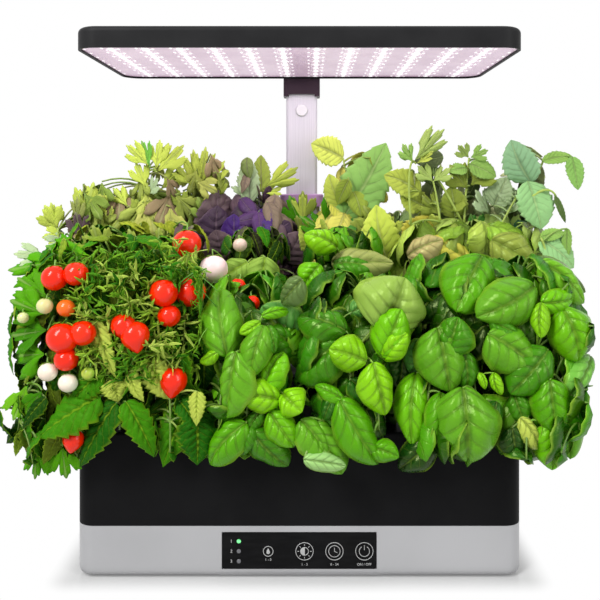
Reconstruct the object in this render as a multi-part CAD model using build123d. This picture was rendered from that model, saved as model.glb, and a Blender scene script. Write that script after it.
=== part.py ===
from build123d import *
from math import cos, pi, sin
import os

# A countertop hydroponic garden. Millimetres, +X to the right, +Y to the rear, +Z up.
# The origin lies on the surface that it stands on, under the middle of the base.

# ---- base, tank and deck --------------------------------------------------------------
base_width = 400.0
base_depth = 250.0
corner_radius = 16.0  # upright corners of base, tank and deck
foot_height = 2.0
foot_radius = 9.0
foot_inset_x = 30.0
foot_inset_y = 30.0
foot_stub_radius = 3.5
foot_stub_depth = 1.4
foot_stub_clearance = 0.15

shell_height = 45.0
shell_wall = 2.5
shell_floor = 2.5
shell_bottom_radius = 5.0
post_pad_height = 3.5
post_radius = 4.0
post_pad_radius = 6.0
post_inset_x = 60.0
post_inset_y = 27.0
post_pilot_depth = 12.0

tank_height = 74.0
tank_wall = 2.5
tank_floor = 3.0
skirt_depth = 4.0
skirt_wall = 2.0
seat_clearance = 0.4  # tank in base, deck in tank

deck_height = 9.0
deck_plate = 3.0
deck_edge_radius = 2.5
lip_depth = 5.0
lip_wall = 2.0

# ---- control panel and electronics ----------------------------------------------------
panel_width = 138.0
panel_height = 32.8
panel_thickness = 3.0
panel_corner = 2.5
panel_centre_height = 23.1  # above the shell's underside
panel_clearance = 0.15
panel_ledge = 4.0
panel_frame_margin = 4.0
panel_frame_depth = 6.5
indicator_inset = 15.1  # from the panel's left edge
indicator_pitch = 8.9
indicator_top_drop = 8.2  # from the panel's upper edge
indicator_radius = 1.9
indicator_clearance = 0.1
indicator_proud = 0.3
board_thickness = 1.6
board_overlap = 1.0  # board past the panel's edge, each side
board_screw_inset = 2.5
inlet_inset = 80.0  # from the base's right side
inlet_hole_radius = 4.2
inlet_clearance = 0.15
inlet_bore_radius = 2.8
inlet_pin_radius = 1.05
inlet_body_width = 11.0
inlet_body_depth = 9.0
inlet_bore_depth = 9.0

# ---- screws ---------------------------------------------------------------------------
screw_radius = 1.45
screw_head_radius = 3.0
screw_head_height = 2.2
screw_clearance = 0.05
small_screw_radius = 1.1
small_head_radius = 2.0
small_head_height = 1.4
driver_slot_width = 0.8
driver_slot_depth = 0.8

# ---- grow pods ------------------------------------------------------------------------
pod_columns = 4
pod_rows = 3
pod_side_inset = 65.0  # outer pods' centres from the deck's sides
pod_front_inset = 50.0
pod_rear_inset = 76.0  # leaves a strip for the mast and the filling port
pod_hole_radius = 18.0
basket_clearance = 0.4
basket_flange_radius = 20.5
basket_flange = 2.0
basket_seat_depth = 1.0
basket_depth = 49.0
basket_taper = 4.5
basket_wall = 1.4
basket_floor = 1.4
basket_slots = 4
basket_slot_width = 5.0
basket_slot_bottom = 7.0
basket_slot_top = 34.0
sponge_clearance = 0.3

# ---- filling port and flap ------------------------------------------------------------
port_inset_x = 100.0  # port's centre from the deck's right side
port_inset_y = 29.0  # and from its rear
port_width = 44.0
port_depth = 26.0
port_corner = 4.0
flap_overlap = 3.0
flap_thickness = 2.0
flap_gap = 0.5
hinge_radius = 2.4
hinge_gap = 0.2
hinge_pin_radius = 1.0
hinge_pin_clearance = 0.05
hinge_setback = 3.0  # pin axis behind the flap plate
knuckle_length = 22.0
ear_width = 4.0
ear_gap = 0.4

# ---- mast -----------------------------------------------------------------------------
mast_inset = 37.0  # mast's centre from the base's rear
outer_tube_width = 42.0
outer_tube_depth = 22.0
outer_tube_wall = 1.5
outer_tube_corner = 5.0
outer_tube_height = 205.0  # above the deck
well_wall = 2.2
well_clearance = 0.3
foot_plug_flange = 3.0
foot_plug_height = 21.0
plug_clearance = 0.2
mast_screw_x = 12.0
mast_screw_length = 14.0

collar_wall = 4.0
collar_drop = 8.0  # length round the outer tube
collar_lip = 6.0  # length above it, round the inner tube
collar_corner = 8.0
collar_clearance = 0.15

inner_tube_width = 36.0
inner_tube_depth = 16.0
inner_tube_wall = 1.2
inner_tube_corner = 4.0
inner_tube_length = 220.0
inner_tube_inset = 8.0  # tube's top below the hood's top
shoe_height = 14.0
shoe_plug_height = 16.0
shoe_clearance = 0.25

# ---- release button -------------------------------------------------------------------
button_drop = 48.0  # below the inner tube's top
button_radius = 6.7
button_proud = 2.0
button_clearance = 0.25
button_flange_radius = 7.5
button_flange = 1.6
button_bore_depth = 10.0
button_retain_gap = 0.3
button_stub_radius = 2.8
button_stub_length = 3.0
button_edge_radius = 0.9
spring_radius = 4.4
spring_wire = 0.7
spring_turns = 4.0
spring_end_gap = 0.05

# ---- hood bracket ---------------------------------------------------------------------
bracket_wall_x = 3.0
bracket_wall_y = 5.0
bracket_drop = 20.0  # bracket's lower end below the hood's underside
bracket_ear_drop = 2.5
bracket_ear_width = 6.0
bracket_corner = 3.5
bracket_slot_clearance = 0.2
spigot_length = 64.0
spigot_clearance = 0.2

# ---- lamp hood ------------------------------------------------------------------------
hood_width = 405.0
hood_depth = 200.0
hood_height = 20.0
hood_rise = 344.0  # hood's underside above the deck
hood_corner = 20.0
hood_edge_radius = 5.0
hood_wall = 2.2
hood_lens_recess = 2.0
lens_thickness = 1.5
lens_clearance = 0.3
ledge_width = 3.0
ledge_height = 2.5
lamp_board_thickness = 1.5
lamp_board_depth = 12.0  # board's underside above the hood's
lamp_board_inset = 8.0
lamp_post_radius = 3.5
lamp_screw_length = 5.0
bracket_screw_x = 12.0
bracket_screw_height = 9.4  # above the hood's underside
led_columns = 12
led_rows = 8
led_margin_x = 21.25  # outer LEDs' centres from the board's edges
led_margin_y = 15.0
led_side = 3.4
led_height = 0.9

# ---- pump -----------------------------------------------------------------------------
pump_offset = 62.0  # pump's centre to the left of the mast's
pump_inset_y = 28.0
pump_length = 32.0
pump_side = 30.0
pump_lift = 3.0
pump_foot_side = 6.0
pump_edge_radius = 3.0
rotor_cavity_radius = 6.5
rotor_cavity_length = 19.0
volute_radius = 11.5
volute_length = 10.0
pump_cover_thickness = 3.0
pump_slot_width = 2.4
pump_slot_length = 9.0
pump_slots = 3
pump_boss_radius = 3.0
shaft_radius = 1.0
shaft_fit = 0.02
impeller_fit = 0.06
shaft_seat = 1.5
rotor_radius = 5.8
rotor_end_gap = 0.6
impeller_radius = 10.4
impeller_disc = 1.5
impeller_blades = 6
impeller_blade_height = 5.5
impeller_blade_width = 1.4
nozzle_radius = 4.2
nozzle_bore = 2.7
nozzle_height = 12.0

# ---- water level float ----------------------------------------------------------------
float_inset_x = 75.0
float_inset_y = 28.0
float_stem_radius = 3.0
float_stem_rise = 11.0  # stem's lower end above the tank's floor
float_ring_radius = 9.0
float_ring_height = 16.0
float_clearance = 0.3
float_travel = 18.0
float_stop_radius = 5.0
float_stop_height = 2.0
float_clip_radius = 6.0
float_clip_height = 2.0
float_seat_gap = 0.3
float_boss_radius = 5.0
float_boss_height = 3.0

# ---- plants ---------------------------------------------------------------------------
row_spreads = (62.0, 66.0, 80.0)  # foliage beyond the base's sides, front row to rear row
front_hang = 28.0  # thickness of the foliage that hangs in front of the base
crown_gap = 2.0  # air between neighbouring crowns
leaf_layer = 4.0  # thickness of the leafy skin round each crown's airy middle
stem_radius = 4.0
stem_reach = 30.0  # stem inside the crown
crown_base = 26.0  # crown's underside above the deck
crown_shoulder = 24.0
sprig_root = 34.0  # how deep in its crown an upright sprig starts
sprig_swell = 0.58  # where along its length it is widest
front_clearance = 7.0  # hanging leaves in front of the base
front_drop = 29.0  # how far they hang below the deck's top
mast_room = 4.0
crown_points = 12
crown_squareness = 3.2

# ---- heights and places worked out from the above -------------------------------------
shell_top = foot_height + shell_height
shell_inside = foot_height + shell_floor
tank_top = shell_top + tank_height
tank_inside = shell_top + tank_floor
deck_top = tank_top + deck_height
deck_under = deck_top - deck_plate
front_y = -base_depth / 2
rear_y = base_depth / 2
right_x = base_width / 2
post_x = right_x - post_inset_x
post_y = rear_y - post_inset_y
panel_centre_z = foot_height + panel_centre_height
indicator_x = indicator_inset - panel_width / 2
indicator_top_z = panel_centre_z + panel_height / 2 - indicator_top_drop
inlet_x = right_x - inlet_inset
inlet_centre_z = panel_centre_z
pod_pitch_x = (base_width - 2 * pod_side_inset) / (pod_columns - 1)
pod_pitch_y = (base_depth - pod_front_inset - pod_rear_inset) / (pod_rows - 1)
pod_x = [pod_side_inset - right_x + pod_pitch_x * i for i in range(pod_columns)]
pod_y = [front_y + pod_front_inset + pod_pitch_y * j for j in range(pod_rows)]
port_x = right_x - port_inset_x
port_y = rear_y - port_inset_y
mast_y = rear_y - mast_inset
pump_x = -pump_offset
pump_y = rear_y - pump_inset_y
float_x = float_inset_x - right_x
float_y = rear_y - float_inset_y
float_stem_bottom = tank_inside + float_stem_rise
foliage_depth = base_depth + 2 * (front_clearance + front_hang)
basket_top_z = deck_top - basket_seat_depth + basket_flange
sponge_top_z = basket_top_z - basket_flange
bracket_width = inner_tube_width + 2 * bracket_wall_x
bracket_depth = inner_tube_depth + 2 * bracket_wall_y
hood_rear_y = mast_y - bracket_depth / 2
hood_y = hood_rear_y - hood_depth / 2
hood_bottom = deck_top + hood_rise
hood_top = hood_bottom + hood_height
lamp_board_bottom = hood_bottom + lamp_board_depth
led_pitch_x = (hood_width - 2 * lamp_board_inset - 2 * led_margin_x) / (led_columns - 1)
led_pitch_y = (hood_depth - 2 * lamp_board_inset - 2 * led_margin_y) / (led_rows - 1)
lamp_screw_x = led_pitch_x * (led_columns / 2 - 1)
lamp_screw_y = led_pitch_y * (led_rows / 2 - 1)
outer_tube_top = deck_top + outer_tube_height
inner_tube_top = hood_top - inner_tube_inset
inner_tube_bottom = inner_tube_top - inner_tube_length
button_z = inner_tube_top - button_drop
bracket_bottom = hood_bottom - bracket_drop
bracket_screw_z = hood_bottom + bracket_screw_height
lens_bottom = hood_bottom + hood_lens_recess
ledge_bottom = lens_bottom + lens_thickness
well_inner_width = outer_tube_width + 2 * well_clearance
well_inner_depth = outer_tube_depth + 2 * well_clearance
tube_bottom = tank_inside + foot_plug_flange
outer_bore_width = outer_tube_width - 2 * outer_tube_wall
outer_bore_depth = outer_tube_depth - 2 * outer_tube_wall
outer_bore_corner = outer_tube_corner - outer_tube_wall
inner_bore_width = inner_tube_width - 2 * inner_tube_wall
inner_bore_depth = inner_tube_depth - 2 * inner_tube_wall
inner_bore_corner = inner_tube_corner - inner_tube_wall
spigot_width = inner_bore_width - 2 * spigot_clearance
spigot_depth = inner_bore_depth - 2 * spigot_clearance
spigot_front = mast_y - spigot_depth / 2
tube_front = mast_y - inner_tube_depth / 2
flange_front = tube_front + inner_tube_wall + button_retain_gap
bore_end = spigot_front + button_bore_depth
hinge_y = port_y + port_depth / 2 + flap_overlap + hinge_setback
hinge_z = deck_top + hinge_gap + hinge_radius
flap_bottom = deck_top + flap_gap

parts = {}


def upright_block(width, depth, height, radius, z, x=0.0, y=0.0):
    """A block with rounded upright corners that stands at height z."""
    return Pos(x, y, z) * extrude(RectangleRounded(width, depth, radius), amount=height)


def upright_rod(radius, height, z, x=0.0, y=0.0):
    """An upright round rod that stands at height z."""
    return Pos(x, y, z) * extrude(Circle(radius), amount=height)


def rod_along_y(radius, length, x, y, z):
    """A round rod from (x, y, z) towards the rear."""
    return Pos(x, y, z) * Rot(-90, 0, 0) * extrude(Circle(radius), amount=length)


def rod_along_x(radius, length, x, y, z):
    """A round rod from (x, y, z) towards the right."""
    return Pos(x, y, z) * Rot(0, 90, 0) * extrude(Circle(radius), amount=length)


def block(low, high):
    """A plain block between two opposite corners."""
    size = [b - a for a, b in zip(low, high)]
    middle = [(a + b) / 2 for a, b in zip(low, high)]
    return Pos(*middle) * Box(*size)


def lowest_edges(shape):
    return shape.edges().group_by(Axis.Z)[0]


def highest_edges(shape):
    return shape.edges().group_by(Axis.Z)[-1]


def screw(radius, length, head_radius, head_height):
    """A slotted screw that points up, with the underside of its head at the origin."""
    head = Pos(0, 0, -head_height) * extrude(Circle(head_radius), amount=head_height)
    slot = Pos(0, 0, -head_height) * Box(
        2.2 * head_radius, driver_slot_width, 2 * driver_slot_depth
    )
    return head - slot + extrude(Circle(radius), amount=length)


def post_places():
    return [(sx * post_x, sy * post_y) for sx in (-1, 1) for sy in (-1, 1)]


# ---- base -----------------------------------------------------------------------------
def make_base_shell():
    shell = upright_block(base_width, base_depth, shell_height, corner_radius, foot_height)
    shell = fillet(lowest_edges(shell), shell_bottom_radius)
    cavity = upright_block(
        base_width - 2 * shell_wall,
        base_depth - 2 * shell_wall,
        shell_height,
        corner_radius - shell_wall,
        shell_inside,
    )
    cavity = fillet(lowest_edges(cavity), shell_bottom_radius - shell_wall)
    half = panel_width / 2 + panel_frame_margin
    frame = block(
        (-half, front_y + shell_wall / 2, shell_inside - shell_floor / 2),
        (half, front_y + panel_frame_depth, shell_top - skirt_depth - seat_clearance),
    )
    # a flat land carries the panel where the shell's lower edge curves away
    land_half_x = panel_width / 2 + panel_clearance + shell_wall / 2
    land_half_z = panel_height / 2 + panel_clearance + shell_wall / 4
    land = block(
        (-land_half_x, front_y, panel_centre_z - land_half_z),
        (land_half_x, front_y + panel_frame_depth, panel_centre_z + land_half_z),
    )
    recess = Pos(0, front_y + panel_thickness / 2, panel_centre_z) * Box(
        panel_width + 2 * panel_clearance, panel_thickness, panel_height + 2 * panel_clearance
    )
    window = Pos(0, front_y + panel_frame_depth / 2, panel_centre_z) * Box(
        panel_width - 2 * panel_ledge, 2 * panel_frame_depth, panel_height - 2 * panel_ledge
    )
    shell = shell - cavity + frame + land - recess - window
    for x, y in post_places():
        shell += upright_rod(post_pad_radius, post_pad_height, shell_inside - 0.5, x, y)
        shell -= upright_rod(screw_head_radius + screw_clearance, shell_floor, foot_height, x, y)
        shell -= upright_rod(
            screw_radius + screw_clearance, shell_floor + 2 * post_pad_height, foot_height, x, y
        )
    for x, y in foot_places():
        hole = upright_rod(
            foot_stub_radius + foot_stub_clearance, foot_stub_depth + 0.2, foot_height, x, y
        )
        shell -= hole
    shell -= rod_along_y(inlet_hole_radius, 10, inlet_x, rear_y - 5, inlet_centre_z)
    for x, z in board_screw_places():
        shell -= rod_along_y(
            small_screw_radius + screw_clearance,
            board_screw_length(),
            x,
            front_y + panel_frame_depth - board_screw_length(),
            z,
        )
    return shell


def foot_places():
    x = base_width / 2 - foot_inset_x
    y = base_depth / 2 - foot_inset_y
    return [(sx * x, sy * y) for sx in (-1, 1) for sy in (-1, 1)]


def make_rubber_feet():
    feet = []
    for x, y in foot_places():
        disc = upright_rod(foot_radius, foot_height, 0, x, y)
        disc = chamfer(lowest_edges(disc), foot_height / 4)
        feet.append(disc + upright_rod(foot_stub_radius, foot_stub_depth, foot_height, x, y))
    return Compound(feet)


def make_base_screws():
    length = post_pad_height + post_pilot_depth
    one = screw(screw_radius, length, screw_head_radius, screw_head_height)
    return Compound([Pos(x, y, shell_inside) * one for x, y in post_places()])


# ---- panel and electronics ------------------------------------------------------------
def indicator_places():
    return [indicator_top_z - i * indicator_pitch for i in range(3)]


def make_control_panel():
    plate = extrude(RectangleRounded(panel_width, panel_height, panel_corner), panel_thickness)
    plate = fillet(highest_edges(plate), 0.4)
    plate = Pos(0, front_y + panel_thickness, panel_centre_z) * Rot(90, 0, 0) * plate
    for z in indicator_places():
        plate -= rod_along_y(
            indicator_radius + indicator_clearance, 2 * panel_thickness, indicator_x, front_y - 1, z
        )
    return plate


def light_pipe(z):
    """A clear pin from the circuit board through the panel, with a rounded tip."""
    length = panel_frame_depth + indicator_proud
    pin = rod_along_y(indicator_radius, length, indicator_x, front_y - indicator_proud, z)
    return fillet(pin.edges().group_by(Axis.Y)[0], 0.5)


def make_power_indicator():
    return light_pipe(indicator_places()[0])


def make_status_indicators():
    return Compound([light_pipe(z) for z in indicator_places()[1:]])


def board_screw_length():
    return panel_frame_depth - panel_thickness - 0.6


def board_screw_places():
    x = panel_width / 2 + board_overlap - board_screw_inset
    z = panel_height / 2 - panel_ledge
    return [(sx * x, panel_centre_z + sz * z) for sx in (-1, 1) for sz in (-1, 1)]


def make_control_board():
    y = front_y + panel_frame_depth
    half_x = panel_width / 2 + board_overlap
    half_z = panel_height / 2 - panel_ledge / 2
    board = block(
        (-half_x, y, panel_centre_z - half_z),
        (half_x, y + board_thickness, panel_centre_z + half_z),
    )
    # controller chip, relay and connector on the board's rear face
    for x, width, height, depth in ((-20, 12, 12, 2), (20, 16, 11, 9), (50, 14, 8, 6)):
        board += block(
            (x - width / 2, y + board_thickness / 2, panel_centre_z - height / 2),
            (x + width / 2, y + board_thickness + depth, panel_centre_z + height / 2),
        )
    for x, z in board_screw_places():
        board -= rod_along_y(small_screw_radius + 2 * screw_clearance, 4, x, y - 1, z)
    return board


def make_board_screws():
    y = front_y + panel_frame_depth + board_thickness
    one = screw(
        small_screw_radius,
        board_thickness + board_screw_length() - 0.2,
        small_head_radius,
        small_head_height,
    )
    return Compound([Pos(x, y, z) * Rot(90, 0, 0) * one for x, z in board_screw_places()])


def make_dc_inlet():
    inner_face = rear_y - shell_wall
    half = inlet_body_width / 2
    socket = block(
        (inlet_x - half, inner_face - inlet_body_depth, inlet_centre_z - half),
        (inlet_x + half, inner_face, inlet_centre_z + half),
    )
    sleeve = inlet_hole_radius - inlet_clearance
    socket += rod_along_y(sleeve, shell_wall + 1, inlet_x, inner_face - 1, inlet_centre_z)
    socket -= rod_along_y(
        inlet_bore_radius, 20, inlet_x, rear_y - inlet_bore_depth, inlet_centre_z
    )
    socket += rod_along_y(
        inlet_pin_radius, inlet_bore_depth, inlet_x, rear_y - inlet_bore_depth - 1, inlet_centre_z
    )
    return socket


# ---- tank and deck --------------------------------------------------------------------
def make_tank():
    tank = upright_block(base_width, base_depth, tank_height, corner_radius, shell_top)
    tank -= upright_block(
        base_width - 2 * tank_wall,
        base_depth - 2 * tank_wall,
        tank_height,
        corner_radius - tank_wall,
        tank_inside,
    )
    inset = shell_wall + seat_clearance
    skirt = upright_block(
        base_width - 2 * inset, base_depth - 2 * inset, skirt_depth + 1, corner_radius - inset,
        shell_top - skirt_depth,
    )
    inset += skirt_wall
    skirt -= upright_block(
        base_width - 2 * inset, base_depth - 2 * inset, skirt_depth + 1, corner_radius - inset,
        shell_top - skirt_depth,
    )
    tank += skirt
    # the mast stands in a dry well that rises to the deck
    well = upright_block(
        well_inner_width + 2 * well_wall,
        well_inner_depth + 2 * well_wall,
        deck_under - shell_top,
        outer_tube_corner + well_clearance + well_wall,
        shell_top,
        0,
        mast_y,
    )
    well_bore = upright_block(
        well_inner_width,
        well_inner_depth,
        deck_top - tank_inside,
        outer_tube_corner + well_clearance,
        tank_inside,
        0,
        mast_y,
    )
    tank = tank + well - well_bore
    for x, y in post_places():
        bottom = shell_inside + post_pad_height - 0.5
        tank += upright_rod(post_radius, shell_top - bottom + 1, bottom, x, y)
        tank -= upright_rod(
            screw_radius + screw_clearance, post_pilot_depth + 1.5, bottom - 0.5, x, y
        )
    for x in (-mast_screw_x, mast_screw_x):
        tank -= upright_rod(screw_radius + screw_clearance, 20, shell_top - 1, x, mast_y)
    return tank


def make_deck():
    deck = upright_block(base_width, base_depth, deck_height, corner_radius, tank_top)
    deck = fillet(highest_edges(deck), deck_edge_radius)
    inset = tank_wall + seat_clearance
    deck += upright_block(
        base_width - 2 * inset,
        base_depth - 2 * inset,
        lip_depth + 1,
        corner_radius - inset,
        tank_top - lip_depth,
    )
    inset += lip_wall
    deck -= upright_block(
        base_width - 2 * inset,
        base_depth - 2 * inset,
        deck_under - tank_top + lip_depth,
        corner_radius - inset,
        tank_top - lip_depth,
    )
    for x in pod_x:
        for y in pod_y:
            deck -= upright_rod(pod_hole_radius, deck_height, deck_under - 1, x, y)
            seat = basket_flange_radius + basket_clearance
            deck -= upright_rod(seat, deck_height, deck_top - basket_seat_depth, x, y)
    deck -= upright_block(
        well_inner_width,
        well_inner_depth,
        deck_height,
        outer_tube_corner + well_clearance,
        deck_under - 1,
        0,
        mast_y,
    )
    deck -= upright_block(
        port_width, port_depth, deck_height, port_corner, deck_under - 1, port_x, port_y
    )
    boss = upright_rod(
        float_boss_radius, float_boss_height, deck_under - float_boss_height, float_x, float_y
    )
    deck += boss - upright_rod(
        float_stem_radius + screw_clearance,
        float_boss_height,
        deck_under - float_boss_height,
        float_x,
        float_y,
    )
    for side in (-1, 1):
        x = port_x + side * (knuckle_length / 2 + ear_gap + ear_width / 2)
        ear = block(
            (x - ear_width / 2, hinge_y - hinge_radius, deck_top - 0.5),
            (x + ear_width / 2, hinge_y + hinge_radius, hinge_z),
        )
        ear += rod_along_x(hinge_radius, ear_width, x - ear_width / 2, hinge_y, hinge_z)
        bore = hinge_pin_radius + hinge_pin_clearance / 2
        ear -= rod_along_x(bore, 2 * ear_width, x - ear_width, hinge_y, hinge_z)
        deck += ear
    return deck


def make_flap_pin():
    length = knuckle_length + 2 * (ear_gap + ear_width)
    return rod_along_x(hinge_pin_radius, length, port_x - length / 2, hinge_y, hinge_z)


def make_fill_flap():
    width = port_width + 2 * flap_overlap
    depth = port_depth + 2 * flap_overlap
    plate = upright_block(
        width, depth, flap_thickness, port_corner, flap_bottom, port_x, port_y
    )
    plate = fillet(highest_edges(plate), flap_thickness / 4)
    # a shallow finger scoop at the front edge
    scoop_y = port_y - depth / 2
    plate -= Pos(port_x, scoop_y, flap_bottom + flap_thickness + 2.2) * Rot(0, 90, 0) * Cylinder(
        3.2, port_width / 3
    )
    web = block(
        (port_x - knuckle_length / 2, hinge_y - hinge_setback - 1, flap_bottom),
        (port_x + knuckle_length / 2, hinge_y, flap_bottom + flap_thickness),
    )
    knuckle = rod_along_x(
        hinge_radius, knuckle_length, port_x - knuckle_length / 2, hinge_y, hinge_z
    )
    bore = rod_along_x(
        hinge_pin_radius + hinge_pin_clearance,
        2 * knuckle_length,
        port_x - knuckle_length,
        hinge_y,
        hinge_z,
    )
    return plate + web + knuckle - bore


# ---- grow pods ------------------------------------------------------------------------
def basket_bottom_radius():
    return pod_hole_radius - basket_clearance - basket_taper


def basket_radius(z):
    """The basket's outer radius at a height above its floor."""
    return basket_bottom_radius() + basket_taper * z / basket_depth


def make_basket():
    """A slotted cup that hangs by its flange; the flange's underside is at the origin."""
    top = pod_hole_radius - basket_clearance
    cup = Pos(0, 0, -basket_depth) * Cone(
        basket_bottom_radius(), top, basket_depth, align=(Align.CENTER, Align.CENTER, Align.MIN)
    )
    cup += extrude(Circle(basket_flange_radius), amount=basket_flange)
    inside = Pos(0, 0, basket_floor - basket_depth) * Cone(
        basket_radius(basket_floor) - basket_wall,
        top - basket_wall,
        basket_depth - basket_floor,
        align=(Align.CENTER, Align.CENTER, Align.MIN),
    )
    cup = cup - inside - extrude(Circle(top - basket_wall), amount=2 * basket_flange)
    slot_height = basket_slot_top - basket_slot_bottom
    slot_z = basket_slot_bottom + slot_height / 2 - basket_depth
    for k in range(basket_slots // 2):
        turn = 180.0 * k / (basket_slots // 2) + 45
        cup -= Rot(0, 0, turn) * Pos(0, 0, slot_z) * Box(
            3 * pod_hole_radius, basket_slot_width, slot_height
        )
    cup -= Pos(0, 0, -basket_depth) * Cylinder(basket_slot_width, 3 * basket_floor)
    return cup


def make_sponge():
    """A tapered plug that fills the cup, with its top at the origin."""
    height = basket_depth - basket_floor - sponge_clearance
    bottom = basket_radius(basket_floor + sponge_clearance) - basket_wall - sponge_clearance
    top = pod_hole_radius - basket_clearance - basket_wall - sponge_clearance
    return Pos(0, 0, -height) * Cone(
        bottom, top, height, align=(Align.CENTER, Align.CENTER, Align.MIN)
    )


def pod_places():
    """Pod centres, from the left column's front pod."""
    return [(x, y) for x in pod_x for y in pod_y]


# ---- mast -----------------------------------------------------------------------------
def make_mast_outer():
    height = outer_tube_top - tube_bottom
    tube = upright_block(
        outer_tube_width, outer_tube_depth, height, outer_tube_corner, tube_bottom, 0, mast_y
    )
    return tube - upright_block(
        outer_bore_width, outer_bore_depth, height, outer_bore_corner, tube_bottom, 0, mast_y
    )


def make_mast_foot():
    flange = upright_block(
        outer_tube_width, outer_tube_depth, foot_plug_flange, outer_tube_corner, tank_inside, 0,
        mast_y,
    )
    plug = upright_block(
        outer_bore_width - 2 * plug_clearance,
        outer_bore_depth - 2 * plug_clearance,
        foot_plug_height,
        outer_bore_corner - plug_clearance,
        tank_inside + foot_plug_flange,
        0,
        mast_y,
    )
    foot = flange + plug
    for x in (-mast_screw_x, mast_screw_x):
        foot -= upright_rod(
            screw_radius + screw_clearance, mast_screw_length, tank_inside, x, mast_y
        )
    return foot


def make_mast_screws():
    length = tank_floor + mast_screw_length - 1
    one = screw(screw_radius, length, screw_head_radius, screw_head_height)
    return Compound(
        [Pos(x, mast_y, shell_top) * one for x in (-mast_screw_x, mast_screw_x)]
    )


def make_mast_collar():
    width = outer_tube_width + 2 * collar_wall
    depth = outer_tube_depth + 2 * collar_wall
    bottom = outer_tube_top - collar_drop
    collar = upright_block(
        width, depth, collar_drop + collar_lip, collar_corner, bottom, 0, mast_y
    )
    collar = fillet(highest_edges(collar), 1.5)
    collar -= upright_block(
        outer_tube_width + 2 * collar_clearance,
        outer_tube_depth + 2 * collar_clearance,
        collar_drop,
        outer_tube_corner + collar_clearance,
        bottom,
        0,
        mast_y,
    )
    return collar - upright_block(
        inner_tube_width + 2 * collar_clearance,
        inner_tube_depth + 2 * collar_clearance,
        2 * collar_lip + collar_drop,
        inner_tube_corner + collar_clearance,
        bottom,
        0,
        mast_y,
    )


def make_mast_inner():
    height = inner_tube_top - inner_tube_bottom
    tube = upright_block(
        inner_tube_width,
        inner_tube_depth,
        height,
        inner_tube_corner,
        inner_tube_bottom,
        0,
        mast_y,
    )
    tube -= upright_block(
        inner_bore_width, inner_bore_depth, height, inner_bore_corner, inner_tube_bottom, 0, mast_y
    )
    hole = rod_along_y(
        button_radius + button_clearance, inner_tube_depth / 2, 0, tube_front - 2, button_z
    )
    return tube - hole


def make_mast_shoe():
    guide = upright_block(
        outer_bore_width - 2 * shoe_clearance,
        outer_bore_depth - 2 * shoe_clearance,
        shoe_height,
        outer_bore_corner - shoe_clearance,
        inner_tube_bottom - shoe_height,
        0,
        mast_y,
    )
    return guide + upright_block(
        inner_bore_width - 2 * plug_clearance,
        inner_bore_depth - 2 * plug_clearance,
        shoe_plug_height,
        inner_bore_corner - plug_clearance,
        inner_tube_bottom,
        0,
        mast_y,
    )


# ---- release button -------------------------------------------------------------------
def make_release_button():
    front = tube_front - button_proud
    cap = rod_along_y(button_radius, flange_front - front, 0, front, button_z)
    cap = fillet(cap.edges().group_by(Axis.Y)[0], button_edge_radius)
    flange = rod_along_y(button_flange_radius, button_flange, 0, flange_front, button_z)
    stub = rod_along_y(
        button_stub_radius, button_stub_length, 0, flange_front + button_flange, button_z
    )
    return cap + flange + stub


def make_button_spring():
    start = flange_front + button_flange + spring_end_gap
    length = bore_end - start - spring_end_gap
    climb = length - spring_wire
    path = Helix(pitch=climb / spring_turns, height=climb, radius=spring_radius)
    section = Plane(origin=path @ 0, z_dir=path % 0) * Rectangle(spring_wire, spring_wire)
    coil = sweep(section, path=path, is_frenet=True)
    return Pos(0, start + spring_wire / 2, button_z) * Rot(-90, 0, 0) * coil


# ---- hood bracket ---------------------------------------------------------------------
def make_hood_bracket():
    top = hood_top - hood_edge_radius
    cap = upright_block(
        bracket_width, bracket_depth, top - bracket_bottom, bracket_corner, bracket_bottom, 0,
        mast_y,
    )
    cap = fillet(highest_edges(cap), 1.5)
    # the two ends reach a little lower than the middle
    middle = bracket_width - 2 * bracket_ear_width
    cap -= block(
        (-middle / 2, mast_y - bracket_depth, bracket_bottom - 1),
        (middle / 2, mast_y + bracket_depth, bracket_bottom + bracket_ear_drop),
    )
    cap -= upright_block(
        inner_tube_width + 2 * bracket_slot_clearance,
        inner_tube_depth + 2 * bracket_slot_clearance,
        inner_tube_top - bracket_bottom,
        inner_tube_corner + bracket_slot_clearance,
        bracket_bottom,
        0,
        mast_y,
    )
    spigot = upright_block(
        spigot_width,
        spigot_depth,
        spigot_length + 1,
        inner_bore_corner - spigot_clearance,
        inner_tube_top - spigot_length,
        0,
        mast_y,
    )
    bore = rod_along_y(
        button_flange_radius + button_clearance,
        button_bore_depth + 2,
        0,
        spigot_front - 2,
        button_z,
    )
    bracket = cap + (spigot - bore)
    for x in (-bracket_screw_x, bracket_screw_x):
        bracket -= rod_along_y(
            screw_radius + screw_clearance,
            bracket_wall_y - bracket_slot_clearance - 0.4,
            x,
            mast_y - bracket_depth / 2,
            bracket_screw_z,
        )
    return bracket


# ---- lamp hood ------------------------------------------------------------------------
def lamp_screw_places():
    return [
        (sx * lamp_screw_x, hood_y + sy * lamp_screw_y) for sx in (-1, 0, 1) for sy in (-1, 1)
    ]


def hood_slab(inset, z, height):
    """A slab with the hood's outline, drawn in by an inset."""
    return upright_block(
        hood_width - 2 * inset,
        hood_depth - 2 * inset,
        height,
        hood_corner - inset,
        z,
        0,
        hood_y,
    )


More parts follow.
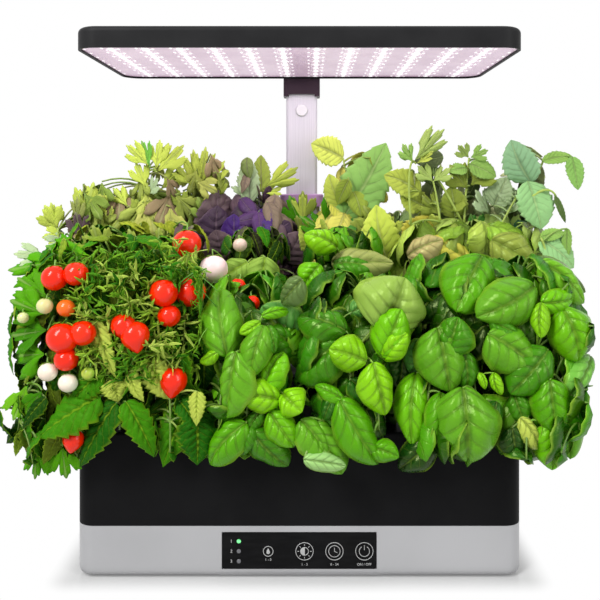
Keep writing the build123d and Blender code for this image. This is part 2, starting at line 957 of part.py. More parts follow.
def make_hood_shell():
    shell = hood_slab(0, hood_bottom, hood_height)
    shell = fillet(highest_edges(shell), hood_edge_radius)
    shell -= hood_slab(hood_wall, hood_bottom, hood_height - hood_wall)
    ledge = hood_slab(hood_wall / 2, ledge_bottom, ledge_height)
    shell += ledge - hood_slab(hood_wall + ledge_width, ledge_bottom, ledge_height)
    board_top = lamp_board_bottom + lamp_board_thickness
    for x, y in lamp_screw_places():
        post = upright_rod(lamp_post_radius, hood_top - hood_wall / 2 - board_top, board_top, x, y)
        shell += post
        shell -= upright_rod(
            small_screw_radius + screw_clearance, lamp_screw_length, board_top, x, y
        )
    for x in (-bracket_screw_x, bracket_screw_x):
        shell -= rod_along_y(
            screw_radius + screw_clearance, 2 * hood_wall, x, hood_rear_y - 1.5 * hood_wall,
            bracket_screw_z,
        )
    return shell


def make_lamp_board():
    board = hood_slab(lamp_board_inset, lamp_board_bottom, lamp_board_thickness)
    for x, y in lamp_screw_places():
        board -= upright_rod(small_screw_radius + 0.3, 4, lamp_board_bottom - 1, x, y)
    return board


def make_led_chips():
    chips = []
    for i in range(led_columns):
        for j in range(led_rows):
            x = led_pitch_x * (i - (led_columns - 1) / 2)
            y = hood_y + led_pitch_y * (j - (led_rows - 1) / 2)
            z = lamp_board_bottom - led_height / 2
            chips.append(Pos(x, y, z) * Box(led_side, led_side, led_height))
    return Compound(chips)


def make_lamp_lens():
    return hood_slab(hood_wall + lens_clearance, lens_bottom, lens_thickness)


def make_lamp_screws():
    board_screw = screw(
        small_screw_radius,
        lamp_board_thickness + lamp_screw_length - 0.4,
        small_head_radius,
        small_head_height,
    )
    placed = [Pos(x, y, lamp_board_bottom) * board_screw for x, y in lamp_screw_places()]
    rear_face = hood_rear_y - hood_wall
    rear_screw = screw(
        screw_radius, hood_wall + bracket_wall_y - 1.0, screw_head_radius, screw_head_height
    )
    for x in (-bracket_screw_x, bracket_screw_x):
        placed.append(Pos(x, rear_face, bracket_screw_z) * Rot(-90, 0, 0) * rear_screw)
    return Compound(placed)


# ---- pump -----------------------------------------------------------------------------
pump_left = pump_x - pump_length / 2
pump_right = pump_x + pump_length / 2
pump_z = tank_inside + pump_lift + pump_side / 2
volute_left = pump_right - volute_length
rotor_left = volute_left - rotor_cavity_length
shaft_left = rotor_left - shaft_seat
shaft_right = pump_right + shaft_seat


def make_pump_housing():
    half = pump_side / 2
    housing = block(
        (pump_left, pump_y - half, pump_z - half), (pump_right, pump_y + half, pump_z + half)
    )
    housing = fillet(housing.edges().filter_by(Axis.X), pump_edge_radius)
    for sx in (pump_left, pump_right - pump_foot_side):
        for sy in (pump_y - half + pump_edge_radius, pump_y + half - pump_edge_radius - pump_foot_side):
            housing += block(
                (sx, sy, tank_inside), (sx + pump_foot_side, sy + pump_foot_side, pump_z - half + 1)
            )
    nozzle_x = pump_right - volute_length / 2
    housing += upright_rod(nozzle_radius, nozzle_height + half, pump_z, nozzle_x, pump_y)
    housing -= rod_along_x(volute_radius, volute_length, volute_left, pump_y, pump_z)
    housing -= rod_along_x(rotor_cavity_radius, rotor_cavity_length, rotor_left, pump_y, pump_z)
    housing -= rod_along_x(shaft_radius + shaft_fit, shaft_seat, shaft_left, pump_y, pump_z)
    housing -= upright_rod(nozzle_bore, 2 * nozzle_height + half, pump_z, nozzle_x, pump_y)
    return housing


def make_pump_cover():
    half = pump_side / 2
    cover = block(
        (pump_right, pump_y - half, pump_z - half),
        (pump_right + pump_cover_thickness, pump_y + half, pump_z + half),
    )
    cover = fillet(cover.edges().filter_by(Axis.X), pump_edge_radius)
    middle = pump_right + pump_cover_thickness / 2
    for side in (-1, 1):
        for k in range(pump_slots):
            y = pump_y + side * (pump_boss_radius + pump_slot_width * (1.6 * k + 0.9))
            cover -= Pos(middle, y, pump_z) * Box(
                2 * pump_cover_thickness, pump_slot_width, pump_slot_length
            )
    cover -= rod_along_x(shaft_radius + shaft_fit, shaft_seat, pump_right, pump_y, pump_z)
    return cover


def make_pump_shaft():
    return rod_along_x(
        shaft_radius, shaft_right - shaft_left - 0.2, shaft_left + 0.1, pump_y, pump_z
    )


def make_pump_impeller():
    rotor_length = rotor_cavity_length - rotor_end_gap
    start = rotor_left + rotor_end_gap
    impeller = rod_along_x(rotor_radius, rotor_length + 1, start, pump_y, pump_z)
    disc_x = volute_left + 0.5
    impeller += rod_along_x(impeller_radius, impeller_disc, disc_x, pump_y, pump_z)
    impeller += rod_along_x(
        pump_boss_radius, impeller_disc + impeller_blade_height, disc_x, pump_y, pump_z
    )
    for k in range(impeller_blades):
        reach = impeller_radius - pump_boss_radius / 2
        blade = Pos(
            disc_x + (impeller_disc + impeller_blade_height) / 2, 0,
            pump_boss_radius / 2 + reach / 2 - 0.3,
        ) * Box(impeller_disc + impeller_blade_height, impeller_blade_width, reach - 0.6)
        impeller += Pos(0, pump_y, pump_z) * Rot(360.0 * k / impeller_blades, 0, 0) * blade
    return impeller - rod_along_x(
        shaft_radius + impeller_fit, 2 * pump_length, pump_left - 5, pump_y, pump_z
    )


# ---- water level float ----------------------------------------------------------------
float_bottom = float_stem_bottom + float_clip_height + float_seat_gap
float_top = float_bottom + float_ring_height


def make_float_stem():
    stem = upright_rod(
        float_stem_radius, deck_under - float_stem_bottom, float_stem_bottom, float_x, float_y
    )
    stop_z = float_top + float_travel + float_seat_gap
    return stem + upright_rod(float_stop_radius, float_stop_height, stop_z, float_x, float_y)


def make_float_clip():
    clip = upright_rod(float_clip_radius, float_clip_height, float_stem_bottom, float_x, float_y)
    return clip - upright_rod(
        float_stem_radius + screw_clearance, float_clip_height, float_stem_bottom, float_x, float_y
    )


def make_float_ring():
    ring = upright_rod(float_ring_radius, float_ring_height, float_bottom, float_x, float_y)
    return ring - upright_rod(
        float_stem_radius + float_clearance, float_ring_height, float_bottom, float_x, float_y
    )


# ---- plants ---------------------------------------------------------------------------
def crown_outline(low_x, high_x, low_y, high_y, z):
    """A rounded twelve-sided outline that fills a rectangle at height z."""
    half_x = (high_x - low_x) / 2
    half_y = (high_y - low_y) / 2
    points = []
    for k in range(crown_points):
        turn = 2 * pi * k / crown_points
        c = cos(turn)
        s = sin(turn)
        reach = (abs(c) ** crown_squareness + abs(s) ** crown_squareness) ** (
            -1 / crown_squareness
        )
        points.append(
            (low_x + half_x + half_x * reach * c, low_y + half_y + half_y * reach * s)
        )
    return Plane.XY.offset(z) * make_face(Polyline(*points, close=True))


def crown_body(levels, inset):
    """A crown through its levels (z, low x, high x, low y, high y), drawn in by an inset."""
    faces = []
    last = len(levels) - 1
    for i, (z, low_x, high_x, low_y, high_y) in enumerate(levels):
        shift = inset if i == 0 else -inset if i == last else 0.0
        faces.append(
            crown_outline(
                low_x + inset, high_x - inset, low_y + inset, high_y - inset, z + shift
            )
        )
    return loft(faces, ruled=True)


def cell(column, row):
    """The room that a pod's crown may take: low x, high x, low y, high y."""
    side = right_x + row_spreads[row]
    low_x = -side if column == 0 else pod_x[column] - pod_pitch_x / 2 + crown_gap / 2
    high_x = (
        side
        if column == pod_columns - 1
        else pod_x[column] + pod_pitch_x / 2 - crown_gap / 2
    )
    low_y = -foliage_depth / 2 if row == 0 else pod_y[row] - pod_pitch_y / 2 + crown_gap / 2
    high_y = (
        foliage_depth / 2 if row == pod_rows - 1 else pod_y[row] + pod_pitch_y / 2 - crown_gap / 2
    )
    return low_x, high_x, low_y, high_y


def drawn_towards(x, y, room, share):
    """A room shrunk towards a stem by a share."""
    low_x, high_x, low_y, high_y = room
    return (
        x + (low_x - x) * share,
        x + (high_x - x) * share,
        y + (low_y - y) * share,
        y + (high_y - y) * share,
    )


def crown_levels(column, row, top):
    """The levels of a crown, from its underside to its top."""
    x = pod_x[column]
    y = pod_y[row]
    room = cell(column, row)
    under = deck_top + crown_base
    middle = (under + top) / 2
    if row == 0:
        # the front plants hang over the deck's edge in front of the base
        back_of_drop = front_y - front_clearance
        low_x, high_x, low_y, _ = drawn_towards(x, y, room, 0.8)
        levels = [
            (deck_top - front_drop, low_x, high_x, room[2] + 4, back_of_drop),
            (deck_top + 8, room[0] + 2, room[1], room[2], back_of_drop),
            (under + crown_shoulder, *room),
        ]
    else:
        levels = [
            (under, *drawn_towards(x, y, room, 0.34)),
            (under + crown_shoulder, *drawn_towards(x, y, room, 0.86)),
        ]
    levels += [
        (middle, *room),
        (top - crown_shoulder, *drawn_towards(x, y, room, 0.9)),
        (top - crown_shoulder / 4, *drawn_towards(x, y, room, 0.68)),
        (top, *drawn_towards(x, y, room, 0.4)),
    ]
    return levels


def mast_keep_out(grow):
    """The room behind the rear plants that the mast and its collar need."""
    half_x = outer_tube_width / 2 + collar_wall + mast_room + grow
    front = mast_y - outer_tube_depth / 2 - collar_wall - mast_room - grow
    return block((-half_x, front, deck_top - 1), (half_x, foliage_depth, hood_bottom))


def make_sprig(root, tip, radius):
    """An upright sprig of leaves, widest past its middle."""
    axis = Vector(*tip) - Vector(*root)
    length = axis.length
    half = Polyline(
        (0, 0),
        (0.4 * radius, 0),
        (radius, sprig_swell * length),
        (0.7 * radius, 0.85 * length),
        (0, length),
        close=True,
    )
    return Plane(origin=root, z_dir=axis) * revolve(Plane.XZ * make_face(half), Axis.Z)


def make_plant(column, row, top, sprigs):
    levels = crown_levels(column, row, top)
    crown = crown_body(levels, 0)
    middle = crown_body(levels, leaf_layer)
    keep_out = row == pod_rows - 1 and column in (1, 2)
    if keep_out:
        crown -= mast_keep_out(0)
        middle -= mast_keep_out(leaf_layer)
    crown -= middle
    x = pod_x[column]
    y = pod_y[row]
    for root_x, root_y, tip_x, tip_y, tip_height, radius in sprigs:
        root = (x + root_x, y + root_y, top - sprig_root)
        sprig = make_sprig(root, (x + tip_x, y + tip_y, deck_top + tip_height), radius)
        crown += sprig - mast_keep_out(0) if keep_out else sprig
    stem_height = crown_base + crown_shoulder + stem_reach
    return crown + upright_rod(stem_radius, stem_height, sponge_top_z, x, y)


# plant name, column, row and height of its leafy crown above the deck
plants = [
    ("tomato_plant_1", 0, 0, 170.0),
    ("tomato_plant_2", 0, 1, 180.0),
    ("parsley_plant", 0, 2, 210.0),
    ("basil_plant_1", 1, 0, 136.0),
    ("tomato_plant_3", 1, 1, 176.0),
    ("purple_basil_plant", 1, 2, 205.0),
    ("basil_plant_2", 2, 0, 138.0),
    ("basil_plant_3", 2, 1, 176.0),
    ("lemon_balm_plant", 2, 2, 195.0),
    ("basil_plant_4", 3, 0, 154.0),
    ("basil_plant_5", 3, 1, 182.0),
    ("mint_plant", 3, 2, 195.0),
]

# upright sprigs: root from the pod's centre, tip from the pod's centre, its height above the
# deck and the sprig's radius; the mint's three lean forward
plant_sprigs = {
    "parsley_plant": [
        (-20.0, 5.0, -25.0, 0.0, 270.0, 30.0),
        (22.0, 8.0, 26.0, 10.0, 262.0, 28.0),
        (-80.0, -2.0, -100.0, -5.0, 224.0, 24.0),
    ],
    "purple_basil_plant": [(-6.0, 4.0, -9.0, 8.0, 254.0, 24.0)],
    "lemon_balm_plant": [(8.0, 0.0, 26.0, -4.0, 266.0, 28.0)],
    "mint_plant": [
        (0.0, -8.0, 0.0, -54.0, 277.0, 26.0),
        (45.0, -8.0, 52.0, -49.0, 260.0, 24.0),
        (95.0, -8.0, 122.0, -59.0, 268.0, 34.0),
    ],
}


# ---- the assembly ---------------------------------------------------------------------
parts["base_shell"] = make_base_shell()
parts["rubber_feet"] = make_rubber_feet()
parts["base_screws"] = make_base_screws()
parts["control_panel"] = make_control_panel()
parts["power_indicator"] = make_power_indicator()
parts["status_indicators"] = make_status_indicators()
parts["control_board"] = make_control_board()
parts["board_screws"] = make_board_screws()
parts["dc_inlet"] = make_dc_inlet()
parts["tank"] = make_tank()
parts["deck"] = make_deck()
parts["flap_pin"] = make_flap_pin()
parts["fill_flap"] = make_fill_flap()
parts["mast_outer"] = make_mast_outer()
parts["mast_foot"] = make_mast_foot()
parts["mast_screws"] = make_mast_screws()
parts["mast_collar"] = make_mast_collar()
parts["mast_inner"] = make_mast_inner()
parts["mast_shoe"] = make_mast_shoe()
parts["release_button"] = make_release_button()
parts["button_spring"] = make_button_spring()
parts["hood_bracket"] = make_hood_bracket()
parts["hood_shell"] = make_hood_shell()
parts["lamp_board"] = make_lamp_board()
parts["led_chips"] = make_led_chips()
parts["lamp_lens"] = make_lamp_lens()
parts["lamp_screws"] = make_lamp_screws()
parts["pump_housing"] = make_pump_housing()
parts["pump_cover"] = make_pump_cover()
parts["pump_shaft"] = make_pump_shaft()
parts["pump_impeller"] = make_pump_impeller()
parts["float_stem"] = make_float_stem()
parts["float_clip"] = make_float_clip()
parts["float_ring"] = make_float_ring()

basket = make_basket()
sponge = make_sponge()
seat_z = deck_top - basket_seat_depth
for number, (x, y) in enumerate(pod_places(), start=1):
    parts[f"pod_basket_{number:02d}"] = Pos(x, y, seat_z) * basket
parts["grow_sponges"] = Compound([Pos(x, y, sponge_top_z) * sponge for x, y in pod_places()])

for name, column, row, height in plants:
    parts[name] = make_plant(column, row, deck_top + height, plant_sprigs.get(name, []))

os.makedirs("parts", exist_ok=True)
for name, shape in parts.items():
    shape.label = name
    export_step(shape, f"parts/{name}.step")
    print(name, len(shape.solids()), "solids")
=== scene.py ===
# %% [markdown]
# # A countertop hydroponic garden
# A low silver base, a black water tank with a planting deck, twelve pods of herbs and cherry tomatoes, and
# a lamp hood on a flat telescopic mast. The hard parts come in finished from CAD and only need surfaces.
# The plants come in as rough crowns, and each is replaced here by real leaves, stems and fruit.

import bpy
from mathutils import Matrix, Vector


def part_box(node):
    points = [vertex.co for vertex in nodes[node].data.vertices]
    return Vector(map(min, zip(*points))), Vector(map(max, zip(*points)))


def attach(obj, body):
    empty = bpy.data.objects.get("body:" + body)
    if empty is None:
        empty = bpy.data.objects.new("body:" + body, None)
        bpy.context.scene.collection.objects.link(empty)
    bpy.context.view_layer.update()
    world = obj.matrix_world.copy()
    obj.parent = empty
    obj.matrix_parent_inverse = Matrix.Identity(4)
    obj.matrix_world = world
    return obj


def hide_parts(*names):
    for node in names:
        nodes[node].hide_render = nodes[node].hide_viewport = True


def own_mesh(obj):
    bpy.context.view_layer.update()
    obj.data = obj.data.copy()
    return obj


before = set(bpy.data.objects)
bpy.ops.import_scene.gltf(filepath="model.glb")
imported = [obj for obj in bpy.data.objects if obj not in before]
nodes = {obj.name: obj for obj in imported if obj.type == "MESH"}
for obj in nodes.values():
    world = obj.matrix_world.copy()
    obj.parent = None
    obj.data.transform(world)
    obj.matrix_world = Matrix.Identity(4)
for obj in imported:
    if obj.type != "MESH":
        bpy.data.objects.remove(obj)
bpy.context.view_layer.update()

# %% Tools used throughout
import math

import bpy
import numpy as np
from mathutils.bvhtree import BVHTree

seed = 20
rng = np.random.default_rng(seed)


def to_scene(name, data):
    """An object with this data, linked to the scene."""
    made = bpy.data.objects.new(name, data)
    bpy.context.scene.collection.objects.link(made)
    return made


print("random draws start from seed", seed)

# %% [markdown]
# ## Shader maths that reads like arithmetic
# A surface that varies needs many small Math nodes. Each could be made and linked by hand, but that takes
# several lines for every sum and hides what the sum is. This class wraps one output socket instead, so that
# an expression such as `1 - mask * 0.5` adds the nodes itself and the recipe stays readable.


# %% A socket that can be added and multiplied
class Socket:
    def __init__(self, finish, link):
        self.finish, self.link = finish, link

    def maths(self, operation, *others):
        return self.finish.node("ShaderNodeMath", {"operation": operation}, dict(enumerate((self, *others))))

    def __add__(self, other):
        return self.maths("ADD", other)

    def __sub__(self, other):
        return self.maths("SUBTRACT", other)

    def __rsub__(self, other):
        return self * -1.0 + other

    def __mul__(self, other):
        return self.maths("MULTIPLY", other)

    def __truediv__(self, other):
        return self.maths("DIVIDE", other)

    def __pow__(self, other):
        return self.maths("POWER", other)

    def __abs__(self):
        return self.maths("ABSOLUTE")

    __radd__, __rmul__ = __add__, __mul__

    def step(self, low, high):
        """0 below low, 1 above high and smooth between."""
        return self.finish.node(
            "ShaderNodeMapRange",
            {"interpolation_type": "SMOOTHSTEP"},
            {"Value": self, "From Min": low, "From Max": high},
        )


print("socket arithmetic:", ", ".join(name.strip("_") for name in vars(Socket) if name.startswith("__")))

# %% [markdown]
# ## One recipe card per finish
# A recipe adds nodes to a tree: one method makes any node, and a few short ones make the nodes that most
# finishes use. A finish is a recipe for a material with a Principled shader. Values that are the same all
# over go straight on the shader's sockets. Only colour, roughness, glow, coat and bump are fed by nodes,
# because those are what a finished model can carry along as pictures.


# %% A recipe
def linear(code):
    """A colour code such as 'a0b0c0' as the linear colour that a shader needs."""
    srgb = [int(code[i : i + 2], 16) / 255 for i in (0, 2, 4)]
    return tuple(c / 12.92 if c <= 0.04045 else ((c + 0.055) / 1.055) ** 2.4 for c in srgb)


class Recipe:
    def __init__(self, tree):
        self.tree = tree

    def put(self, socket, value):
        if isinstance(value, Socket):
            self.tree.links.new(value.link, socket)
        elif isinstance(value, tuple) and len(value) == 3 and socket.type == "RGBA":
            socket.default_value = (*value, 1.0)
        else:
            socket.default_value = value

    def node(self, kind, settings=None, values=None, out=0):
        """Adds any other node: its settings first, then the values or links of its sockets."""
        made = self.tree.nodes.new(kind)
        for name, value in (settings or {}).items():
            setattr(made, name, value)
        for name, value in (values or {}).items():
            self.put(made.inputs[name], value)
        return Socket(self, made.outputs[out])

    def place(self):
        return self.node("ShaderNodeTexCoord", out="Object")

    def axes(self, vector):
        split = self.node("ShaderNodeSeparateXYZ", values={0: vector})
        others = split.link.node.outputs
        return split, Socket(self, others[1]), Socket(self, others[2])

    def noise(self, scale, detail=3.0, stretch=None):
        vector = self.place()
        if stretch:
            vector = self.node("ShaderNodeVectorMath", {"operation": "MULTIPLY"}, {0: vector, 1: stretch})
        return self.node("ShaderNodeTexNoise", values={"Vector": vector, "Scale": scale, "Detail": detail})

    def mix(self, first, second, share):
        return self.node("ShaderNodeMix", {"data_type": "RGBA"}, {0: share, 6: first, 7: second}, out=2)


print("a recipe's own nodes:", [name for name in vars(Recipe) if not name.startswith("__")])


# %% A finish
class Finish(Recipe):
    def __init__(self, name, **uniform):
        self.material = bpy.data.materials.new(name)
        self.material.use_nodes = True
        super().__init__(self.material.node_tree)
        self.shader = self.tree.nodes["Principled BSDF"]
        for socket, value in uniform.items():
            self.set(socket.replace("_", " "), value)

    def set(self, name, value):
        self.put(self.shader.inputs[name], value)

    def bump(self, height, depth, strength=1.0):
        values = {"Height": height, "Distance": depth, "Strength": strength}
        self.set("Normal", self.node("ShaderNodeBump", values=values))


def coat(finish, *names):
    """Puts a finish on CAD nodes."""
    for name in names:
        slots = nodes[name].data.materials
        slots.clear()
        slots.append(finish.material)


print("finishes can be made and put on", len(nodes), "CAD pieces")

# %% [markdown]
# ## Moulded plastics
# Tank, deck, hood, baskets, collar and pump are moulded. One colour and one gloss would render flat, because
# a mould leaves a fine grain and handling leaves faint cloudy differences. One function makes them all: two
# colours stirred by a broad noise, a fine grain in the roughness and a very shallow bump.


# %% A moulded plastic
cloud_scale = 18.0
grain_swing, cloud_swing = 0.16, 0.12  # how far each moves the roughness


def moulded(name, colour, other, rough=0.45, grain=2600.0, depth=0.00003, **uniform):
    finish = Finish(name, **uniform)
    cloud = finish.noise(cloud_scale, 4.0)
    fine = finish.noise(grain, 2.0)
    finish.set("Base Color", finish.mix(linear(colour), linear(other), cloud.step(0.35, 0.65)))
    finish.set("Roughness", rough + (fine - 0.5) * grain_swing + (cloud - 0.5) * cloud_swing)
    finish.bump(fine, depth)
    return finish


print("moulded plastic ready, clouds at scale", cloud_scale)

# %% The plastics of this garden
matt_black = moulded("black_moulding", "131314", "171718", rough=0.5, Specular_IOR_Level=0.05)
hood_black = moulded("hood_moulding", "1e1e1f", "242425", rough=0.46, Specular_IOR_Level=0.08)
socket_black = moulded("socket_moulding", "202022", "2a2a2c", rough=0.5)
basket_black = moulded("basket_moulding", "1e2022", "2a2d2f", rough=0.58)
# painted light: the collar is tinted mauve for the grow lamp's pink glow on it
collar_painted_pink_light = moulded("collar_moulding", "c79ad0", "b98ac6", rough=0.4)
# painted light: the black bracket is tinted plum for the grow lamp's pink glow on it
bracket_painted_pink_light = moulded("bracket_moulding", "3a2b37", "42323c", rough=0.42, Specular_IOR_Level=0.15)
pump_grey = moulded("pump_moulding", "33373b", "3c4145", rough=0.5)
impeller_blue = moulded("impeller_moulding", "d8dde0", "c3cdd4", rough=0.4)
float_white = moulded("float_moulding", "e9e9e4", "dcdcd6", rough=0.45)
feet_rubber = moulded("rubber", "26262a", "303034", rough=0.78, grain=900.0, depth=0.00008)

coat(matt_black, "tank", "deck", "fill_flap")
coat(hood_black, "hood_shell")
coat(socket_black, "dc_inlet", "mast_foot", "mast_shoe", "float_clip")
coat(basket_black, *["pod_basket_%02d" % i for i in range(1, 13)])
coat(collar_painted_pink_light, "mast_collar")
coat(bracket_painted_pink_light, "hood_bracket")
coat(pump_grey, "pump_housing", "pump_cover")
coat(impeller_blue, "pump_impeller")
coat(float_white, "float_ring", "float_stem")
coat(feet_rubber, "rubber_feet")
print("moulded plastics on tank, deck, hood, baskets, mast and pump")

# %% [markdown]
# ## The silver base
# Silver paint has flakes that catch the light at slightly different angles. Real specks in a clear layer
# would be slow and too small to see, so the flakes are a fast noise in colour and roughness. Low down, the
# paint is a slightly darker, duller band: its darkening is painted shade on the bottom edge.

# %% Silver paint
low_shade_from, low_shade_to = 0.004, 0.012  # metres above the worktop
silver = Finish("silver_paint", Metallic=0.35)
flake = silver.noise(5200.0, 1.0)
cloud = silver.noise(9.0, 4.0)
_, _, height = silver.axes(silver.place())
# painted shade: the paint goes darker and a little duller along the bottom edge
painted_low_shade = 1 - height.step(low_shade_from, low_shade_to)
painted = silver.mix(linear("acacae"), linear("b6b6b8"), cloud.step(0.3, 0.7))
painted = silver.mix(painted, linear("d3d3d6"), flake.step(0.55, 0.8) * 0.5)
silver.set("Base Color", silver.mix(painted, linear("a0a0a2"), painted_low_shade * 0.5))
silver.set("Roughness", 0.36 + (flake - 0.5) * 0.2 + painted_low_shade * 0.12)
silver.bump(flake, 0.000015)
coat(silver, "base_shell")
print("base shell painted, darkened below", low_shade_to)

# %% [markdown]
# ## Metals
# The mast is extruded tube with a pale anodised coat, drawn in one direction, so its grain runs upwards.
# Grooves in the mesh would cost many faces, so the noise is stretched along Z instead, and it moves with the
# mast because its places are the object's own. Screws and springs are turned steel with finer marks.


# %% Drawn tube and turned steel
def metal(name, colour, other, rough, stretch, scale, metallic):
    finish = Finish(name, Metallic=metallic)
    drawn = finish.noise(scale, 3.0, stretch=stretch)
    finish.set("Base Color", finish.mix(linear(colour), linear(other), drawn.step(0.35, 0.65)))
    finish.set("Roughness", rough + (drawn - 0.5) * 0.2)
    finish.bump(drawn, 0.00001)
    return finish


mast_tube = metal("mast_anodised", "e8e4ee", "e0dce6", 0.38, (1.0, 1.0, 0.02), 900.0, 0.0)
steel = metal("turned_steel", "b9bbbe", "a2a4a8", 0.28, (1.0, 1.0, 6.0), 700.0, 0.9)
coat(mast_tube, "mast_outer", "mast_inner")
coat(steel, "base_screws", "board_screws", "mast_screws", "lamp_screws")
coat(steel, "flap_pin", "button_spring", "pump_shaft")
button_white = moulded("button_moulding", "f6f4f8", "efedf2", rough=0.35, depth=0.00001)
coat(button_white, "release_button")
print("mast, screws and button finished")

# %% [markdown]
# ## Button spring
# The coil behind the release button shortens when the button is pressed, and a piece that only moves with one
# body can't do that. Here a copy of the coil takes the node's place and moves with the lamp, at its full
# length.

# %% The spring's copy
coil_mesh = nodes["button_spring"].data.copy()
coil_mesh.transform(nodes["button_spring"].matrix_world)
coil = to_scene("button_coil", coil_mesh)
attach(coil, "lamp")
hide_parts("button_spring")
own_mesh(coil)

# %% [markdown]
# ## Glossy panel and its lights
# The touch panel is a gloss black sheet. Gloss black shows itself only by what it mirrors, so the colour is
# nearly nothing and a thin clear coat gives the shine, with faint wipe marks in it. One indicator is lit
# green. A lamp behind it would do that too, but a glowing surface is simpler and can't leak light. The other
# two are plain grey lenses.

# %% Panel and indicators
panel_black = Finish("panel_gloss_black", Specular_IOR_Level=0.05, Coat_Roughness=0.04, Coat_IOR=1.5)
wipe = panel_black.noise(60.0, 4.0, stretch=(1.0, 1.0, 5.0))
panel_black.set("Base Color", panel_black.mix(linear("0d0d0e"), linear("131314"), wipe.step(0.3, 0.7)))
panel_black.set("Roughness", 0.16 + wipe * 0.1)
panel_black.set("Coat Weight", 0.02 + wipe * 0.05)
coat(panel_black, "control_panel")

light_height, light_radius = 0.0333, 0.0019
green_light = Finish("indicator_green", Roughness=0.3, Emission_Strength=0.5)
_, _, up = green_light.axes(green_light.place())
core = 1 - (abs(up - light_height) / light_radius).step(0.2, 1.0)
glow = green_light.mix(linear("3fb05a"), linear("7ff09a"), core)
green_light.set("Base Color", glow)
green_light.set("Emission Color", glow)
coat(green_light, "power_indicator")
grey_light = moulded("indicator_grey", "66666a", "76767a", rough=0.3)
coat(grey_light, "status_indicators")
print("panel and its indicators finished")

# %% [markdown]
# ## Circuit boards
# The boards inside are a coloured mask over copper. The mortar lines of a brick pattern make tracks at right
# angles, which is enough for boards that show only when the housings are opened.


# %% Boards
def circuit(name, mask_colour, trace_colour, size):
    """A solder mask with traces: the brick pattern's mortar makes right-angled tracks."""
    finish = Finish(name)
    place = finish.node("ShaderNodeVectorMath", {"operation": "MULTIPLY"}, {0: finish.place(), 1: size})
    values = {"Vector": place, "Scale": 1.0, "Mortar Size": 0.06, "Color1": (0, 0, 0), "Mortar": (1, 1, 1)}
    tracks = finish.node("ShaderNodeTexBrick", {"offset": 0.5}, {**values, "Color2": (0, 0, 0)}, out=1)
    finish.set("Base Color", finish.mix(linear(mask_colour), linear(trace_colour), tracks * 0.8))
    finish.set("Roughness", 0.42 - tracks * 0.1)
    finish.bump(tracks, 0.00004)
    return finish


coat(circuit("control_circuit", "1f5f33", "3f8a52", (240.0, 240.0, 420.0)), "control_board")
coat(circuit("lamp_circuit", "efe6ee", "d5c3d0", (64.0, 90.0, 1.0)), "lamp_board")
print("boards finished: 2")

# %% [markdown]
# ## The lamp's lit underside
# Rows of LEDs sit behind a clear sheet with fine prisms, which smear each LED into a bright star that is
# drawn out from front to rear, with a spray of smaller glints round it. Real glass over glowing chips would
# be slow and full of noise. So the sheet itself glows with that pattern: a soft lilac ground with stars on
# the LED grid, worked out from the place on the sheet.

# %% A glint on every LED
led_pitch = (0.0315, 0.022)  # across and from front to rear
led_rows_middle = -0.025
lens = Finish("lamp_sheet", Roughness=0.3, Emission_Strength=0.65)
across, depth, _ = lens.axes(lens.place())
column = across / led_pitch[0]
row = (depth - led_rows_middle) / led_pitch[1]


def from_centre(count):
    """Distance from the middle of the grid cell, -0.5 to 0.5."""
    return count.maths("FRACT") - 0.5


def spot(width, length, side=0.0, along=0.0):
    """A round glint on every LED, as long and as wide as given in cells."""
    x = from_centre(column + side) / width
    y = from_centre(row + along) / length
    return 1 - (x * x + y * y).step(0.0, 1.0)


print("LED grid pitch mm:", [round(pitch * 1000, 1) for pitch in led_pitch])

# %% The lit sheet and the LEDs behind it
streak_reach, spray_reach = 0.13, 0.36  # to each side of a column, in cells
lit = (1.6, 1.5, 1.6)  # above 1, because the sheet glows at only a part of its colour
speck = lens.noise(900.0, 2.0, stretch=(1.0, 0.4, 1.0))
patch = lens.noise(24.0, 3.0)
streak = (1 - (abs(from_centre(column)) / streak_reach).step(0.0, 1.0)) * 0.3
spray = (1 - (abs(from_centre(column)) / spray_reach).step(0.2, 1.0)) * speck.step(0.56, 0.66) * 0.75
glints = spot(0.1, 0.42) + spot(0.22, 0.1) * 0.6 + streak + spray
glints = glints + (spot(0.05, 0.2, 0.24, 0.3) + spot(0.05, 0.2, -0.22, 0.1)) * 0.7
glints = glints.maths("MINIMUM", 1.0)
ground = lens.mix(linear("b79cb2"), linear("c2a9bd"), patch.step(0.35, 0.65))
lens_picture = lens.mix(ground, lit, glints)
lens.set("Base Color", lens_picture)
lens.set("Emission Color", lens_picture)
coat(lens, "lamp_lens")

led = Finish("led_chip", Roughness=0.3, Emission_Strength=1.6)
chip_noise = led.noise(150.0)
led.set("Base Color", led.mix(linear("fff7ec"), linear("ffeaf6"), chip_noise))
led.set("Emission Color", led.mix(linear("fff7ec"), linear("ffe0f4"), chip_noise))
coat(led, "led_chips")
print("lamp sheet and LEDs finished")

# %% [markdown]
# ## Sponges
# Each plant grows from a plug of dark peat foam. Its open cells would be far too many faces as a mesh. A
# Voronoi texture has the same look in colour and bump.

# %% Peat foam
sponge = Finish("peat_foam", Roughness=0.9)
cells = sponge.node("ShaderNodeTexVoronoi", values={"Vector": sponge.place(), "Scale": 700.0})
soak = sponge.noise(60.0)
sponge.set("Base Color", sponge.mix(linear("2a1f17"), linear("4b3a2b"), cells * 0.7 + soak * 0.3))
sponge.bump(cells, 0.0004)
coat(sponge, "grow_sponges")
print("sponges finished")

# %% [markdown]
# ## Marks on the touch panel
# The icons are printed and stand a hair above the gloss sheet. A picture on the sheet would blur close by. A
# curve with a round bevel gives a sharp line of even weight, so each icon is a handful of strokes, and a
# filled shape is strokes laid side by side. Captions are plain numbers and ON/OFF only.

# %% Printed ink and the strokes
panel_face = -0.125  # the front of the panel, along Y
line_weight = 0.00028
ink = Finish("panel_ink")
ink_noise = ink.noise(1500.0)
ink.set("Base Color", ink.mix(linear("b4b4b4"), linear("c4c4c4"), ink_noise))
ink.set("Roughness", 0.45 + ink_noise * 0.1)


